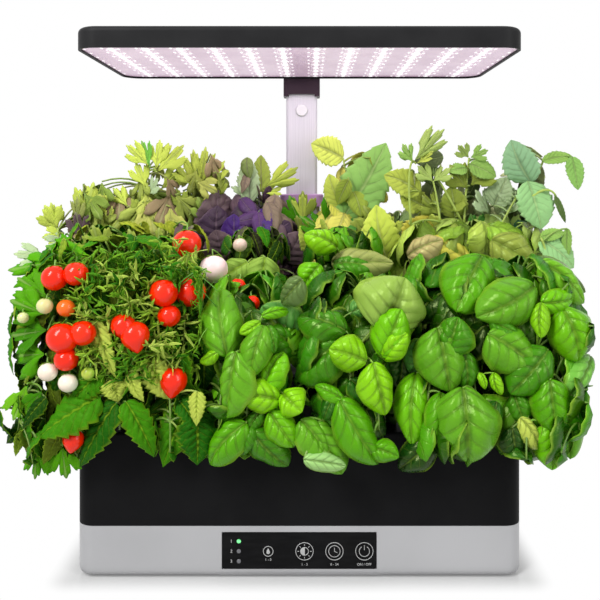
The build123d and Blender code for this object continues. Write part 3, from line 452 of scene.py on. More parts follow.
def arc(x, z, radius, start=0.0, end=360.0, count=28):
    turns = np.radians(np.linspace(start, end, count))
    return [(x + radius * math.cos(t), z + radius * math.sin(t)) for t in turns]


def strokes(name, paths):
    """Lines on the panel's face through (x, z) points in millimetres."""
    data = bpy.data.curves.new(name, "CURVE")
    data.dimensions, data.bevel_depth, data.bevel_resolution = "3D", line_weight, 2
    data.use_fill_caps = True
    for path in paths:
        spline = data.splines.new("POLY")
        spline.points.add(len(path) - 1)
        for point, (x, z) in zip(spline.points, path):
            point.co = (x / 1000, panel_face, z / 1000, 1.0)
    data.materials.append(ink.material)
    made = to_scene(name, data)
    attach(made, "base")


print("ink and strokes ready")

# %% Four icons
icon_z = 24.4  # millimetres, as all places on the panel
drop_x, sun_x, clock_x, power_x = -27.7, 4.7, 31.4, 58.1
ring, small_ring = 7.8, 4.4
drop_width, drop_height = 1.75, 2.3
ray_from, ray_to = 4.9, 6.3
sun_radius, fill_radius, line_gap = 3.5, 3.3, 0.45


def drop(size):
    """A water drop: round below and drawn to a point above."""
    turns = np.linspace(0, 2 * math.pi, 29)
    widths = [size * drop_width * math.sin(t) * math.sin(t / 2) ** 1.4 for t in turns]
    return [(drop_x + w, icon_z + size * drop_height * math.cos(t) + 0.1) for w, t in zip(widths, turns)]


def ray(turn):
    c, s = math.cos(turn), math.sin(turn)
    return [(sun_x + reach * c, icon_z + reach * s) for reach in (ray_from, ray_to)]


def upright(across):
    """One of the lines that fill the sun's left half."""
    half = math.sqrt(fill_radius**2 - across * across)
    return [(sun_x - across, icon_z + half), (sun_x - across, icon_z - half)]


drops = [drop(size) for size in (1.0, 0.7, 0.4, 0.15)]
rays = [ray(math.radians(45 * k)) for k in range(8)]
half_fill = [upright(across) for across in np.arange(0.0, 3.2, line_gap)]
hands = [(clock_x, icon_z + 3.2), (clock_x, icon_z), (clock_x + 2.4, icon_z - 1.2)]
bar = [(power_x, icon_z + 1.2), (power_x, icon_z + 5.4)]
strokes("icon_water", [arc(drop_x, icon_z, small_ring), *drops])
strokes("icon_light", [arc(sun_x, icon_z, ring), arc(sun_x, icon_z, sun_radius), *rays, *half_fill])
strokes("icon_timer", [arc(clock_x, icon_z, ring), arc(clock_x, icon_z, 5.1), hands])
strokes("icon_power", [arc(power_x, icon_z, ring), arc(power_x, icon_z, 4.6, -240, 60), bar])
print("icons drawn: 4, rays:", len(rays))


# %% Captions
def caption(name, text, x, z, height):
    data = bpy.data.curves.new(name, "FONT")
    data.body, data.size, data.extrude = text, height / 1000, 0.00005
    data.align_x, data.align_y = "CENTER", "CENTER"
    data.materials.append(ink.material)
    made = to_scene(name, data)
    made.location, made.rotation_euler = (x / 1000, panel_face, z / 1000), (math.pi / 2, 0, 0)
    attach(made, "base")


for number, z in enumerate((33.3, 24.4, 15.5), 1):
    caption("caption_level_%d" % number, str(number), -60.6, z, 4.0)
captions = (
    ("water", "1 - 3", drop_x, 17.0),
    ("light", "1 - 5", sun_x, 12.7),
    ("timer", "0 - 24", clock_x, 12.7),
    ("power", "ON / OFF", power_x, 12.7),
)
for name, text, x, z in captions:
    caption("caption_" + name, text, x, z, 3.1)
print("captions set:", 3 + len(captions))

# %% [markdown]
# ## Camera
# The camera looks level along the depth of the garden. Tilted, it would make upright edges lean, so its lens
# is shifted instead. The picture is a square frame of 600 points a side.

# %% Camera
scene = bpy.context.scene
scene.view_settings.view_transform = "Standard"
view_point = (0.0096, -0.815, 0.3494)
frame_side = 600
lens_length, sensor = 46.41, 36.0
frame_scale = lens_length / sensor * frame_side  # frame points per unit of slope
eye_column, eye_row = 310.0, 187.0  # where the level line of sight meets the frame

camera_data = bpy.data.cameras.new("camera")
camera_data.lens, camera_data.sensor_width = lens_length, sensor
camera_data.shift_x = (frame_side / 2 - eye_column) / frame_side
camera_data.shift_y = (eye_row - frame_side / 2) / frame_side
camera = to_scene("camera", camera_data)
camera.location, camera.rotation_euler = view_point, (math.pi / 2, 0, 0)
scene.camera = camera
print("camera at", view_point)

# %% [markdown]
# ## Surroundings
# The world is plain white to look at. At full strength it would also wash the colours out, so it lights the
# object much less than it shows. Light Path tells the kinds of ray apart: to the camera, in a mirror and
# through glass the world shows at full strength.

# %% World
world = bpy.data.worlds.new("studio")
scene.world = world
world.use_nodes = True
studio = Recipe(world.node_tree)
ambient = 0.26


def seen_directly(recipe):
    """1 for rays that show the surroundings: to the camera, in a mirror and through glass."""
    kinds = ("Is Camera Ray", "Is Glossy Ray", "Is Transmission Ray")
    to_camera, in_mirror, through_glass = [recipe.node("ShaderNodeLightPath", out=kind) for kind in kinds]
    return to_camera.maths("MAXIMUM", in_mirror).maths("MAXIMUM", through_glass)


background = studio.tree.nodes["Background"]
studio.put(background.inputs["Strength"], ambient + seen_directly(studio) * (1 - ambient))
studio.put(background.inputs["Color"], (1.0, 1.0, 1.0))
print("world set, its light on the object:", ambient)

# %% [markdown]
# ## Floor
# The floor is white like the world. Paint alone would show a grey horizon, and plain white alone would let
# the garden float. So it is grey paint close round the base, a painted shadow that also takes the cast shadow
# and a faint reflection, and it goes over into plain white further out.

# %% Floor
floor_reach = 6.0
base_half = (0.2, 0.125)
painted_shadow_reach, white_in_painted_shadow = 0.028, 0.15
floor_mesh = bpy.data.meshes.new("floor")
corners = [(-1, -1), (1, -1), (1, 1), (-1, 1)]
floor_mesh.from_pydata([(floor_reach * x, floor_reach * y, 0) for x, y in corners], [], [(0, 1, 2, 3)])
floor = to_scene("floor", floor_mesh)
floor_finish = Finish("white_floor", Roughness=0.1, Specular_IOR_Level=0.4)
# mid grey paint round the base: a painted shadow, which fades into white within about three centimetres
floor_finish.set("Base Color", (0.6, 0.6, 0.6))
floor_x, floor_y, _ = floor_finish.axes(floor_finish.place())
beyond_x = (abs(floor_x) - base_half[0]).maths("MAXIMUM", 0.0)
beyond_y = (abs(floor_y) - base_half[1]).maths("MAXIMUM", 0.0)
clear = ((beyond_x**2.0 + beyond_y**2.0) ** 0.5).step(0.0, painted_shadow_reach)
share = seen_directly(floor_finish) * (white_in_painted_shadow + clear * (1 - white_in_painted_shadow))
white = floor_finish.node("ShaderNodeEmission", values={"Color": (1.0, 1.0, 1.0), "Strength": 1.0})
painted = Socket(floor_finish, floor_finish.shader.outputs[0])
blend = floor_finish.node("ShaderNodeMixShader", values={0: share, 1: painted, 2: white})
floor_finish.put(floor_finish.tree.nodes["Material Output"].inputs["Surface"], blend)
floor_mesh.materials.append(floor_finish.material)
print("floor laid, shadow within", painted_shadow_reach)

# %% [markdown]
# ## Lights
# Two tall soft lights stand in front, like studio strips, and may show in gloss as long highlights. Two
# broad ones lift the back and the top. The last is the garden's own lamp, just under its sheet, which gives
# the upper leaves a faint pink cast. Area lights are used because their size sets how soft a shadow is.


# %% Lights
def soft_light(name, place, aim, size, power, colour=(1, 1, 1), depth=None, mirrored=False):
    data = bpy.data.lights.new(name, "AREA")
    data.size, data.energy, data.color = size, power, colour
    if depth:
        data.shape, data.size_y = "RECTANGLE", depth
    lamp = to_scene(name, data)
    lamp.visible_camera, lamp.visible_glossy = False, mirrored
    lamp.location = place
    lamp.rotation_euler = (Vector(aim) - Vector(place)).to_track_quat("-Z", "Y").to_euler()


soft_light("key", (-0.9, -1.2, 1.5), (0, 0, 0.2), 0.5, 37.0, depth=1.3, mirrored=True)
soft_light("fill", (1.2, -1.1, 0.9), (0, 0, 0.2), 0.5, 10.0, depth=1.3, mirrored=True)
soft_light("rear", (0.4, 1.6, 1.2), (0, 0, 0.25), 1.2, 8.0)
soft_light("top", (0, -0.2, 2.2), (0, 0, 0), 1.6, 9.0)
soft_light("grow_light", (0, -0.025, 0.47), (0, -0.024, 0), 0.37, 0.32, (1.0, 0.93, 0.97), 0.17)
print("lights:", len(bpy.data.lights))

# %% [markdown]
# ## Leaves
# A leaf could be a flat card with a cut-out picture, but it would vanish from the side. So it is a thin
# solid. Its sheet is a grid of points: t runs from stalk to tip and s from edge to edge. The outline, the
# teeth, the puffed areas between the veins, the cupped edges and the droop are all sums on that grid, and
# then the sheet gets a top, an underside and a rim.

# %% Thin solids from a grid of points
leaf_thickness = 0.00035


def slab(sheet):
    """A closed thin solid round a grid of points (rows, columns, xyz)."""
    rows, columns = sheet.shape[:2]
    face = np.cross(np.gradient(sheet, axis=1), np.gradient(sheet, axis=0))
    face /= np.linalg.norm(face, axis=2, keepdims=True) + 1e-12
    index = np.arange(rows * columns).reshape(rows, columns)
    top = np.stack([index[:-1, :-1], index[:-1, 1:], index[1:, 1:], index[1:, :-1]], -1).reshape(-1, 4)
    rim = np.concatenate([index[0], index[1:, -1], index[-1, -2::-1], index[-2:0:-1, 0]])
    under, beyond = rim + rows * columns, np.roll(rim, -1)
    sides = np.stack([rim, under, beyond + rows * columns, beyond], 1)
    half = face * leaf_thickness / 2
    points = np.concatenate([(sheet + half).reshape(-1, 3), (sheet - half).reshape(-1, 3)])
    return points, np.concatenate([top, top[:, ::-1] + rows * columns, sides])


print("leaf thickness mm:", leaf_thickness * 1000)


# %% The line from stalk to tip
def fraction(values):
    return values - np.floor(values)


def spine(t, droop):
    """A stalk-to-tip line that bends down evenly, of unit chord along Y: its points and its slopes."""
    slope = -droop * t
    step = np.diff(t, prepend=t[0])
    y, z = np.cumsum(np.cos(slope) * step), np.cumsum(np.sin(slope) * step)
    lean, chord = math.atan2(z[-1], y[-1]), math.hypot(y[-1], z[-1])
    c, s = math.cos(-lean), math.sin(-lean)
    return (c * y - s * z) / chord, (s * y + c * z) / chord, slope - lean


rise = spine(np.linspace(0, 1, 9), 1.0)[1].max()
print("a spine that droops by one radian rises to", round(float(rise), 3))

# %% One leaf blade
vein_slant = 0.26  # how far a side vein climbs from midrib to edge, in leaf lengths
leaf_start, least_width = 0.012, 0.025
leaf_forms = {
    # stalk end, tip end, teeth, bite, veins, puff, cup, droop, fold, wave
    "basil": (0.42, 0.56, 0, 0.0, 5, 0.04, 1.40, 1.1, 0.42, 0.05),
    "purple": (0.50, 0.75, 8, 0.06, 5, 0.04, 0.15, 0.7, 0.0, 0.04),
    "mint": (0.55, 0.80, 8, 0.13, 7, 0.03, 0.10, 0.5, 0.05, 0.02),
    "tomato": (0.42, 0.95, 7, 0.20, 7, 0.09, 0.50, 0.9, 0.20, 0.05),
    "sliver": (0.60, 0.90, 0, 0.0, 0, 0.0, 0.30, 0.6, 0.3, 0.10),
}


def blade(form, length, width, rows, columns, wobble):
    """The sheet of a leaf from (0, 0, 0) to (0, length, 0), with its (across, along) places."""
    stalk_end, tip_end, teeth, bite, veins, puff, cup, droop, fold, wave = leaf_forms[form]
    t = np.linspace(leaf_start, 1.0, rows)
    s = np.linspace(-1.0, 1.0, columns)
    profile = t**stalk_end * (1 - t) ** tip_end
    profile = profile / profile.max()
    if teeth:
        profile = profile * (1 + bite * (1 - fraction(t * teeth + 0.1)) * 1.2 - bite * 0.6)
    profile = np.maximum(profile, least_width)
    y, z, slope = spine(t, droop * (1 + 0.5 * wobble[0]))
    grid_s, grid_t = np.meshgrid(s, t)
    between = 0.5 - 0.5 * np.cos(2 * math.pi * veins * (grid_t - vein_slant * np.abs(grid_s)))
    lift = puff * between * (1 - grid_s**2) * np.minimum(1, 4 * (1 - grid_t))
    lift = lift - cup * 0.5 * grid_s**2 + fold * np.abs(grid_s) - 0.04 * np.exp(-((grid_s / 0.12) ** 2))
    lift = lift + wave * np.sin(2 * math.pi * (2.2 * grid_t + wobble[1])) * grid_s**2 * np.sign(grid_s)
    lift = lift * profile[:, None] * width
    across = grid_s * profile[:, None] * width / 2
    turn = 0.5 * wobble[2] * (grid_t - 0.3)
    across, lift = across * np.cos(turn) - lift * np.sin(turn), across * np.sin(turn) + lift * np.cos(turn)
    x = across + 0.05 * length * wobble[1] * np.sin(math.pi * grid_t)
    y = (y * length)[:, None] - lift * np.sin(slope)[:, None]
    z = (z * length)[:, None] + lift * np.cos(slope)[:, None]
    return np.stack([x, y, z], -1), np.stack([grid_s / 2 + 0.5, grid_t], -1)


print("blade forms:", ", ".join(leaf_forms))


# %% One lobed leaflet
def fan(length, width, rows, columns, wobble):
    """A lobed leaflet such as parsley's: rays of uneven length from the stalk, in three toothed lobes."""
    r = np.linspace(0.06, 1.0, rows)
    s = np.linspace(-1.0, 1.0, columns)
    spread = math.atan2(width * 0.62, length * 0.62)
    lobes = 1 - np.abs(2 * fraction((s + 1) * 1.5) - 1) ** 2.6
    teeth = 1 - np.abs(2 * fraction((s + 1) * 4.5 + 0.1 * wobble[0]) - 1) ** 1.6
    reach = (1 - 0.24 * s**2) * (0.50 + 0.40 * lobes + 0.12 * teeth)
    grid_s, grid_r = np.meshgrid(s, r)
    reach = 1 + (reach[None, :] - 1) * grid_r**0.6
    angle = grid_s * spread * (0.4 + 0.6 * grid_r)
    lift = -0.12 * (0.6 + wobble[1]) * grid_r**2
    lift = lift + 0.03 * lobes[None, :] * grid_r + 0.14 * wobble[2] * grid_s * grid_r
    x, y = np.sin(angle) * grid_r * reach * length, np.cos(angle) * grid_r * reach * length
    return np.stack([x, y, lift * length], -1), np.stack([grid_s / 2 + 0.5, grid_r], -1)


print("leaf forms with the leaflet:", len(leaf_forms) + 1)

# %% [markdown]
# ## Gathering many leaves into one mesh
# Hundreds of separate objects would be slow and hard to handle. Each plant gathers its leaves in one mesh,
# with a leaf map (across, along) for the veins and a colour for each leaf stored on its points.


# %% Foliage that becomes one object
def unit(vector):
    vector = np.asarray(vector, float)
    return vector / (np.linalg.norm(vector) + 1e-12)


class Gathering:
    def __init__(self):
        self.points, self.faces, self.places, self.tints, self.count = [], [], [], [], 0

    def add(self, points, faces, places, tint):
        self.points.append(points)
        self.faces.extend([corner + self.count for corner in face] for face in faces)
        self.places.append(places)
        self.tints.append(np.tile((*tint, 1.0), (len(points), 1)))
        self.count += len(points)

    def build(self, name, finish, slot, replaced):
        mesh = bpy.data.meshes.new(name)
        mesh.from_pydata(np.concatenate(self.points).tolist(), [], self.faces)
        corners = np.zeros(len(mesh.loops), int)
        mesh.loops.foreach_get("vertex_index", corners)
        leaf_map = mesh.uv_layers.new(name="leaf")
        leaf_map.data.foreach_set("uv", np.concatenate(self.places)[corners].ravel())
        tint = mesh.color_attributes.new(name="tint", type="FLOAT_COLOR", domain="POINT")
        tint.data.foreach_set("color", np.concatenate(self.tints).ravel())
        mesh.polygons.foreach_set("use_smooth", np.ones(len(mesh.polygons), bool))
        mesh.materials.append(finish.material)
        made = to_scene(name, mesh)
        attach(made, "base")
        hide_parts(*replaced)
        return made


print("a gathering keeps", ", ".join(vars(Gathering())))


# %% Laying a leaf and drawing a stem
def lay(gathering, sheet, places, base, axis, face, tint):
    """Lays a sheet with its stalk at base, its tip along axis and its upper side towards face."""
    axis = unit(axis)
    face = unit(np.asarray(face) - np.dot(face, axis) * axis)
    turn = np.stack([np.cross(axis, face), axis, face])
    points, faces = slab(sheet @ turn + np.asarray(base))
    flat = places.reshape(-1, 2)
    gathering.add(points, faces.tolist(), np.concatenate([flat, flat]), tint)


def tube(gathering, path, radii, tint, sides):
    """A round stem through points, closed at both ends."""
    path = np.asarray(path, float)
    radii = np.broadcast_to(radii, len(path))
    along = np.gradient(path, axis=0)
    along /= np.linalg.norm(along, axis=1, keepdims=True) + 1e-12
    guide = np.array([0.21, 0.35, 0.12]) if abs(along[0][2]) > 0.7 else np.array([0.1, 0.2, 1.0])
    first = np.cross(along, guide)
    first /= np.linalg.norm(first, axis=1, keepdims=True)
    second = np.cross(along, first)
    turns = 2 * math.pi * np.arange(sides) / sides
    ring = np.cos(turns)[None, :, None] * first[:, None] + np.sin(turns)[None, :, None] * second[:, None]
    points = (path[:, None] + ring * radii[:, None, None]).reshape(-1, 3)
    faces = []
    for i in range(len(path) - 1):
        for j in range(sides):
            k = (j + 1) % sides
            faces.append([i * sides + j, i * sides + k, (i + 1) * sides + k, (i + 1) * sides + j])
    faces.append(list(range(sides))[::-1])
    faces.append([(len(path) - 1) * sides + j for j in range(sides)])
    places = np.stack(np.meshgrid(np.arange(sides) / sides, np.linspace(0, 1, len(path))), -1).reshape(-1, 2)
    gathering.add(points, faces, places, tint)


def arch(start, middle, end, count):
    """A curve from start to end that is pulled towards middle."""
    t = np.linspace(0, 1, count)[:, None]
    return (1 - t) ** 2 * np.asarray(start) + 2 * t * (1 - t) * np.asarray(middle) + t**2 * np.asarray(end)


print("leaf and stem tools ready")

# %% [markdown]
# ## Skin of leaves, stems and fruit
# A leaf's veins run from a midrib and are lighter than the blade. A material for every leaf would be
# hundreds. So the veins are drawn from the leaf map, a thin line along the middle and slanted lines off it,
# and the blade's own colour comes from the tint of each leaf, with a random mottle and painted shade: darker
# in the vein grooves and towards the stalk end. One finish then serves every leaf of a kind, and no two
# leaves are quite alike.


# %% Leaf skin
young_green = linear("c4e63a")  # the fine flecks that every leaf has


def leaf_skin(name, veins, vein_colour, vein_share, edge_share, rough, sheen, painted_groove_shade):
    skin = Finish(name, Specular_IOR_Level=sheen, Specular_Tint=(0.8, 1.0, 0.4))
    tint = skin.node("ShaderNodeAttribute", {"attribute_name": "tint"}, out="Color")
    across, along, _ = skin.axes(skin.node("ShaderNodeUVMap", {"uv_map": "leaf"}))
    side = abs(across - 0.5) * 2
    midrib = 1 - side.step(0.02, 0.09)
    slant = (along - side * vein_slant) * veins
    line = abs(slant.maths("FRACT") - 0.5) * 2
    vein = line.step(0.84, 0.99) * (1 - side * 0.7) * 0.6
    net = midrib.maths("MAXIMUM", vein)
    groove = (line.step(0.5, 1.0) * (1 - side * 0.5)).maths("MAXIMUM", 1 - side.step(0.03, 0.26))
    cloud = skin.noise(55.0, 3.0)
    cells = skin.noise(700.0, 2.0)
    # painted shade: darker in the vein grooves and towards the stalk end; the cloud adds a random mottle
    shade = (0.5 - cloud * 0.9) + (groove - 0.3) * painted_groove_shade + (0.35 - along) * 0.3
    blade_colour = skin.mix(tint, (0.0, 0.0, 0.0), shade)
    blade_colour = skin.mix(blade_colour, young_green, cells.step(0.5, 0.9) * 0.07)
    colour = skin.mix(blade_colour, linear(vein_colour), net * vein_share)
    if edge_share:
        colour = skin.mix(colour, linear(vein_colour), side.step(0.82, 1.0) * edge_share)
    skin.set("Base Color", colour)
    skin.set("Roughness", rough + (cloud - 0.5) * 0.2 + net * 0.08)
    wrinkle = skin.noise(170.0, 3.0)
    skin.bump(1 - net * 0.8 + cells * 0.25 + wrinkle * 0.9, 0.0006, 0.8)
    return skin


print("leaf skin ready, side veins climb by", vein_slant)


# %% Skin of stems and fruit, and the set of skins
def plain_skin(name, rough, scale, other, share, **uniform):
    """Stems and fruit: the tint with soft patches of another colour."""
    skin = Finish(name, **uniform)
    tint = skin.node("ShaderNodeAttribute", {"attribute_name": "tint"}, out="Color")
    cloud = skin.noise(scale, 3.0)
    skin.set("Base Color", skin.mix(tint, linear(other), cloud.step(0.45, 0.75) * share))
    skin.set("Roughness", rough + (cloud - 0.5) * 0.12)
    skin.bump(cloud, 0.0001)
    return skin


lacquer = {"Specular_IOR_Level": 0.1, "Coat_Weight": 0.5, "Coat_Roughness": 0.05}
skins = {
    # name, veins, their colour and share, share at the edge, roughness, sheen, painted groove shade
    "tomato": leaf_skin("tomato_leaf", 7, "8fb024", 0.42, 0.45, 0.5, 0.08, 0.4),
    "parsley": leaf_skin("parsley_leaf", 3, "c9da8e", 0.2, 0.0, 0.5, 0.08, 0.4),
    "purple": leaf_skin("purple_leaf", 5, "8a7280", 0.35, 0.1, 0.42, 0.16, 0.25),
    "mint": leaf_skin("mint_leaf", 7, "cfe09a", 0.25, 0.1, 0.55, 0.08, 0.45),
    "basil": leaf_skin("basil_leaf", 5, "a8d040", 0.15, 0.4, 0.27, 0.34, 0.62),
    "stem": plain_skin("green_stem", 0.5, 120.0, "8fa04a", 0.4),
    "fruit": plain_skin("fruit_skin", 0.3, 40.0, "ff4400", 0.2, **lacquer),
}
print("living skins:", len(skins))

# %% [markdown]
# ## Twelve plants
# Every plant grows from its pod: a main stem, branches that reach into its crown, and leaves on curved
# stalks. Leaves scattered without stems would be quicker, but they would float when seen from the side, so
# each stalk starts from the nearest branch. The CAD crown gives each plant its shape: rays find the crown's
# outside, and leaves are laid just under it like shingles.
#
# Some room stays free of leaves: the mast's, the flap's swing, and three low places where the tank's front
# shows under the foliage. The hem is the lowest that the filling leaves of the front plants hang.

# %% Where plants stand and what they leave free
pod_columns = (-0.135, -0.045, 0.045, 0.135)
pod_rows = (-0.075, -0.013, 0.049)
sponge_top = 0.1285
mast_room = (0.033, 0.062)  # leaves stay out of |x| below the first where y is over the second
flap_room = ((0.066, 0.072, 0.0), (0.134, 0.135, 0.186))
hem = 0.112
bare_front = -0.12  # bare patches reach from here to the front
bare_patches = (  # from x, to x, and up to z
    (-0.190, -0.128, 0.136),
    (-0.030, -0.018, 0.125),
    (0.045, 0.082, 0.125),
)


def crown_surface(node):
    """The crown of a plant as a surface that rays can hit."""
    made = nodes[node]
    corners = [made.matrix_world @ corner.co for corner in made.data.vertices]
    return BVHTree.FromPolygons(corners, [tuple(face.vertices) for face in made.data.polygons])


crowns = {node: crown_surface(node) for node in nodes if "_plant" in node}


def clear_of_mast(path):
    """The path bent forwards where it would run into the mast."""
    path = np.array(path, float)
    room = mast_room[1] + np.maximum(0, np.abs(path[:, 0]) - mast_room[0])
    path[:, 1] = np.minimum(path[:, 1], room)
    return path


print("crowns measured:", len(crowns))

# %% [markdown]
# ## Roots, trunk and branches
# A plant starts as bare wood: a trunk from its pod and nine branches that turn round it by the golden angle,
# as real shoots do to keep out of each other's shade. Front plants also send shoots over the tank's edge.
# Two heights shape the crown. A tall herb is bushy up to its fill_top and has open sprigs above it. The
# basils have a lid, which their filling leaves stay under, so that the listed leaves stay in sight.

# %% A plant without leaves
no_lid = 1.0
lowest_fork = 0.156  # just above the deck
branches, golden_turn, golden_rise = 9, 0.382, 0.618
spread_x, spread_y = 0.72, 0.6  # of the crown's half width and half depth
front_top = -0.09  # a front plant's trunk leans out to this y
reach_step = 0.006  # between the points where stalks may start
shoot_end, shoot_bend = 0.140, 0.215  # the heights where front shoots end and turn down
stem_green = "6f8f3a"


class Rooted:
    def __init__(self, node, column, row, skin, slot, fill_top=None, lid=no_lid):
        low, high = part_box(node)
        self.crown = crowns[node]
        self.node, self.skin, self.slot = node, skin, slot
        self.low, self.high = np.array(low), np.array(high)
        self.foot = np.array([pod_columns[column], pod_rows[row], sponge_top])
        self.front = row == 0
        self.fill_top, self.lid = min(fill_top or self.high[2], lid), lid
        self.leaves, self.stems, self.fruit, self.fans = Gathering(), Gathering(), Gathering(), Gathering()
        self.reach, self.reach_points = [], []  # points on stems where a stalk may start
        self.main_stems()

    def stem(self, path, thick, thin, tint):
        path = clear_of_mast(path)
        tube(self.stems, path, np.linspace(thick, thin, len(path)), tint, 8)
        for a, b in zip(path[:-1], path[1:]):
            count = max(2, int(np.linalg.norm(b - a) / reach_step))
            for share in np.linspace(0, 1, count, endpoint=False):
                self.reach.append(a + (b - a) * share)

    def main_stems(self):
        """A trunk and its branches, inside the crown."""
        tint = linear(stem_green)
        middle = (self.low + self.high) / 2
        top = np.array([middle[0], middle[1], self.fill_top - 0.03])
        if self.front:
            top[1] = front_top
        knee = self.foot * (0.5, 0.5, 0) + top * (0.5, 0.5, 0) + (0, 0, (lowest_fork + top[2]) / 2)
        trunk = arch(self.foot, (self.foot[0], self.foot[1], knee[2]), top, 12)
        self.stem(trunk, 0.0030, 0.0014, tint)
        half = (self.high - self.low) / 2
        for k in range(branches):
            start = trunk[2 + k % 7]
            turn = 2 * math.pi * (k * golden_turn + 0.1)
            tip = middle + half * (spread_x * math.cos(turn), spread_y * math.sin(turn), 0)
            tip[2] = lowest_fork + (self.fill_top - lowest_fork) * (0.3 + 0.62 * (k * golden_rise % 1))
            bend = (start + tip) / 2 + (0, 0, 0.25 * abs(tip[2] - start[2]) + 0.006)
            self.stem(arch(start, bend, tip, 9), 0.0018, 0.0009, tint)
        if self.front:
            for x in np.linspace(self.low[0] + 0.02, self.high[0] - 0.02, 4 if half[0] > 0.06 else 3):
                tip = (x, self.low[1] + 0.012, shoot_end)
                self.stem(arch(trunk[5], (x, self.low[1] + 0.02, shoot_bend), tip, 11), 0.0017, 0.0008, tint)

    def stalk(self, base, tint, radius):
        """A curved stalk from the nearest stem to a leaf's base."""
        base = np.asarray(base, float)
        if len(self.reach_points) != len(self.reach):
            self.reach_points = np.asarray(self.reach)
        reach = self.reach_points
        gap = reach - base
        cost = np.linalg.norm(gap, axis=1) + 0.8 * np.maximum(gap[:, 2] - 0.004, 0)
        start = reach[int(np.argmin(cost))]
        length = np.linalg.norm(base - start)
        middle = (start + base) / 2 + (0, 0.1 * length, 0.22 * length)
        path = clear_of_mast(arch(start, middle, base, 6))
        tube(self.stems, path, np.linspace(radius * 1.3, radius, 6), tint, 5)


print("branches of a plant:", branches)

# %% [markdown]
# ## Leaves on a plant
# A leaf is asked for by its stalk end, its tip and the way that its upper side faces. The listed blades get
# about three times as many rows as those that fill, so that their veins and teeth stay crisp.

# %% A plant with leaves
leaf_rows = {"basil": 11, "purple": 17, "mint": 17, "tomato": 22, "sliver": 6}
plain_columns, fine_columns, sliver_columns = 5, 13, 3
plain_fan, fine_fan = (5, 25), (9, 41)
stalk_green = "7d9a3c"
overhang = 0.004  # how far leaves may stand out of their crown's box


class Leafy(Rooted):
    def leaf(self, form, base, tip, face, width, tint, fine=False):
        base, tip = self.kept(base), self.kept(tip)
        length = np.linalg.norm(tip - base)
        wobble = rng.uniform(-1, 1, 3)
        if form == "fan":
            sheet, places = fan(length, width, *(fine_fan if fine else plain_fan), wobble)
        else:
            rows, columns = leaf_rows[form], sliver_columns if form == "sliver" else plain_columns
            if fine:
                rows, columns = rows * 3 - 2, fine_columns
            sheet, places = blade(form, length, width, rows, columns, wobble)
        gathering = self.fans if form == "fan" else self.leaves
        lay(gathering, sheet, places, base, tip - base, face, tint)
        if form != "sliver":
            stem_tint = tuple(0.5 * a + 0.5 * b for a, b in zip(linear(stalk_green), tint))
            self.stalk(base, stem_tint, 0.0009 if length > 0.02 else 0.0006)

    def kept(self, point):
        """The point drawn back inside the plant's own box."""
        farthest = self.high + (overhang, overhang, overhang / 2)
        return np.minimum(np.maximum(point, self.low - overhang), farthest)

    def in_the_way(self, point):
        x, y, z = point
        if y < bare_front and any(a < x < b and z < top for a, b, top in bare_patches):
            return True
        if abs(x) < mast_room[0] and y > mast_room[1]:
            return True
        return all(a < v < b for a, v, b in zip(flap_room[0], point, flap_room[1]))


print("leaf rows, plain and fine:", {form: (rows, rows * 3 - 2) for form, rows in leaf_rows.items()})

# %% [markdown]
# ## Shingling a crown
# Places drawn at random would clump and leave holes. So rays from all sides find places on the crown that are
# at least one spacing apart, and each carries one outer leaf and often one further in, tinted darker as
# painted shade. Where a crown lies against its neighbour, some places stay empty. Where listed leaves stand
# in front, the filling moves back and goes dark, as painted shade between leaves.

# %% A plant that fills its crown
tries = 300  # rays in a row without a new place before a crown counts as full
ray_start = 0.6  # rays start this far outside
lowest_spot, deck_spot = 0.104, 0.1555  # front crowns hang lower than the deck, the others stand on it
buried_within, buried_skipped = 0.012, 0.4
front_zone, rear_zone = -0.05, 0.02  # leaves before this y count as in front, on front and other plants
outer_depth, inner_depth = (0.002, 0.008), (0.014, 0.028)
outer_shade, inner_shade = (0.8, 1.15), (0.35, 0.6)
step_back, far_step_back, shaded = 0.020, 0.042, 0.36
hanging = 0.145  # below this a front plant's leaves hang over the tank's edge
low_sides, fold_in = 0.2, 0.016  # leaves at the sides stand further in below this height
airy = 0.4  # the share of a sprig's places that get a leaf


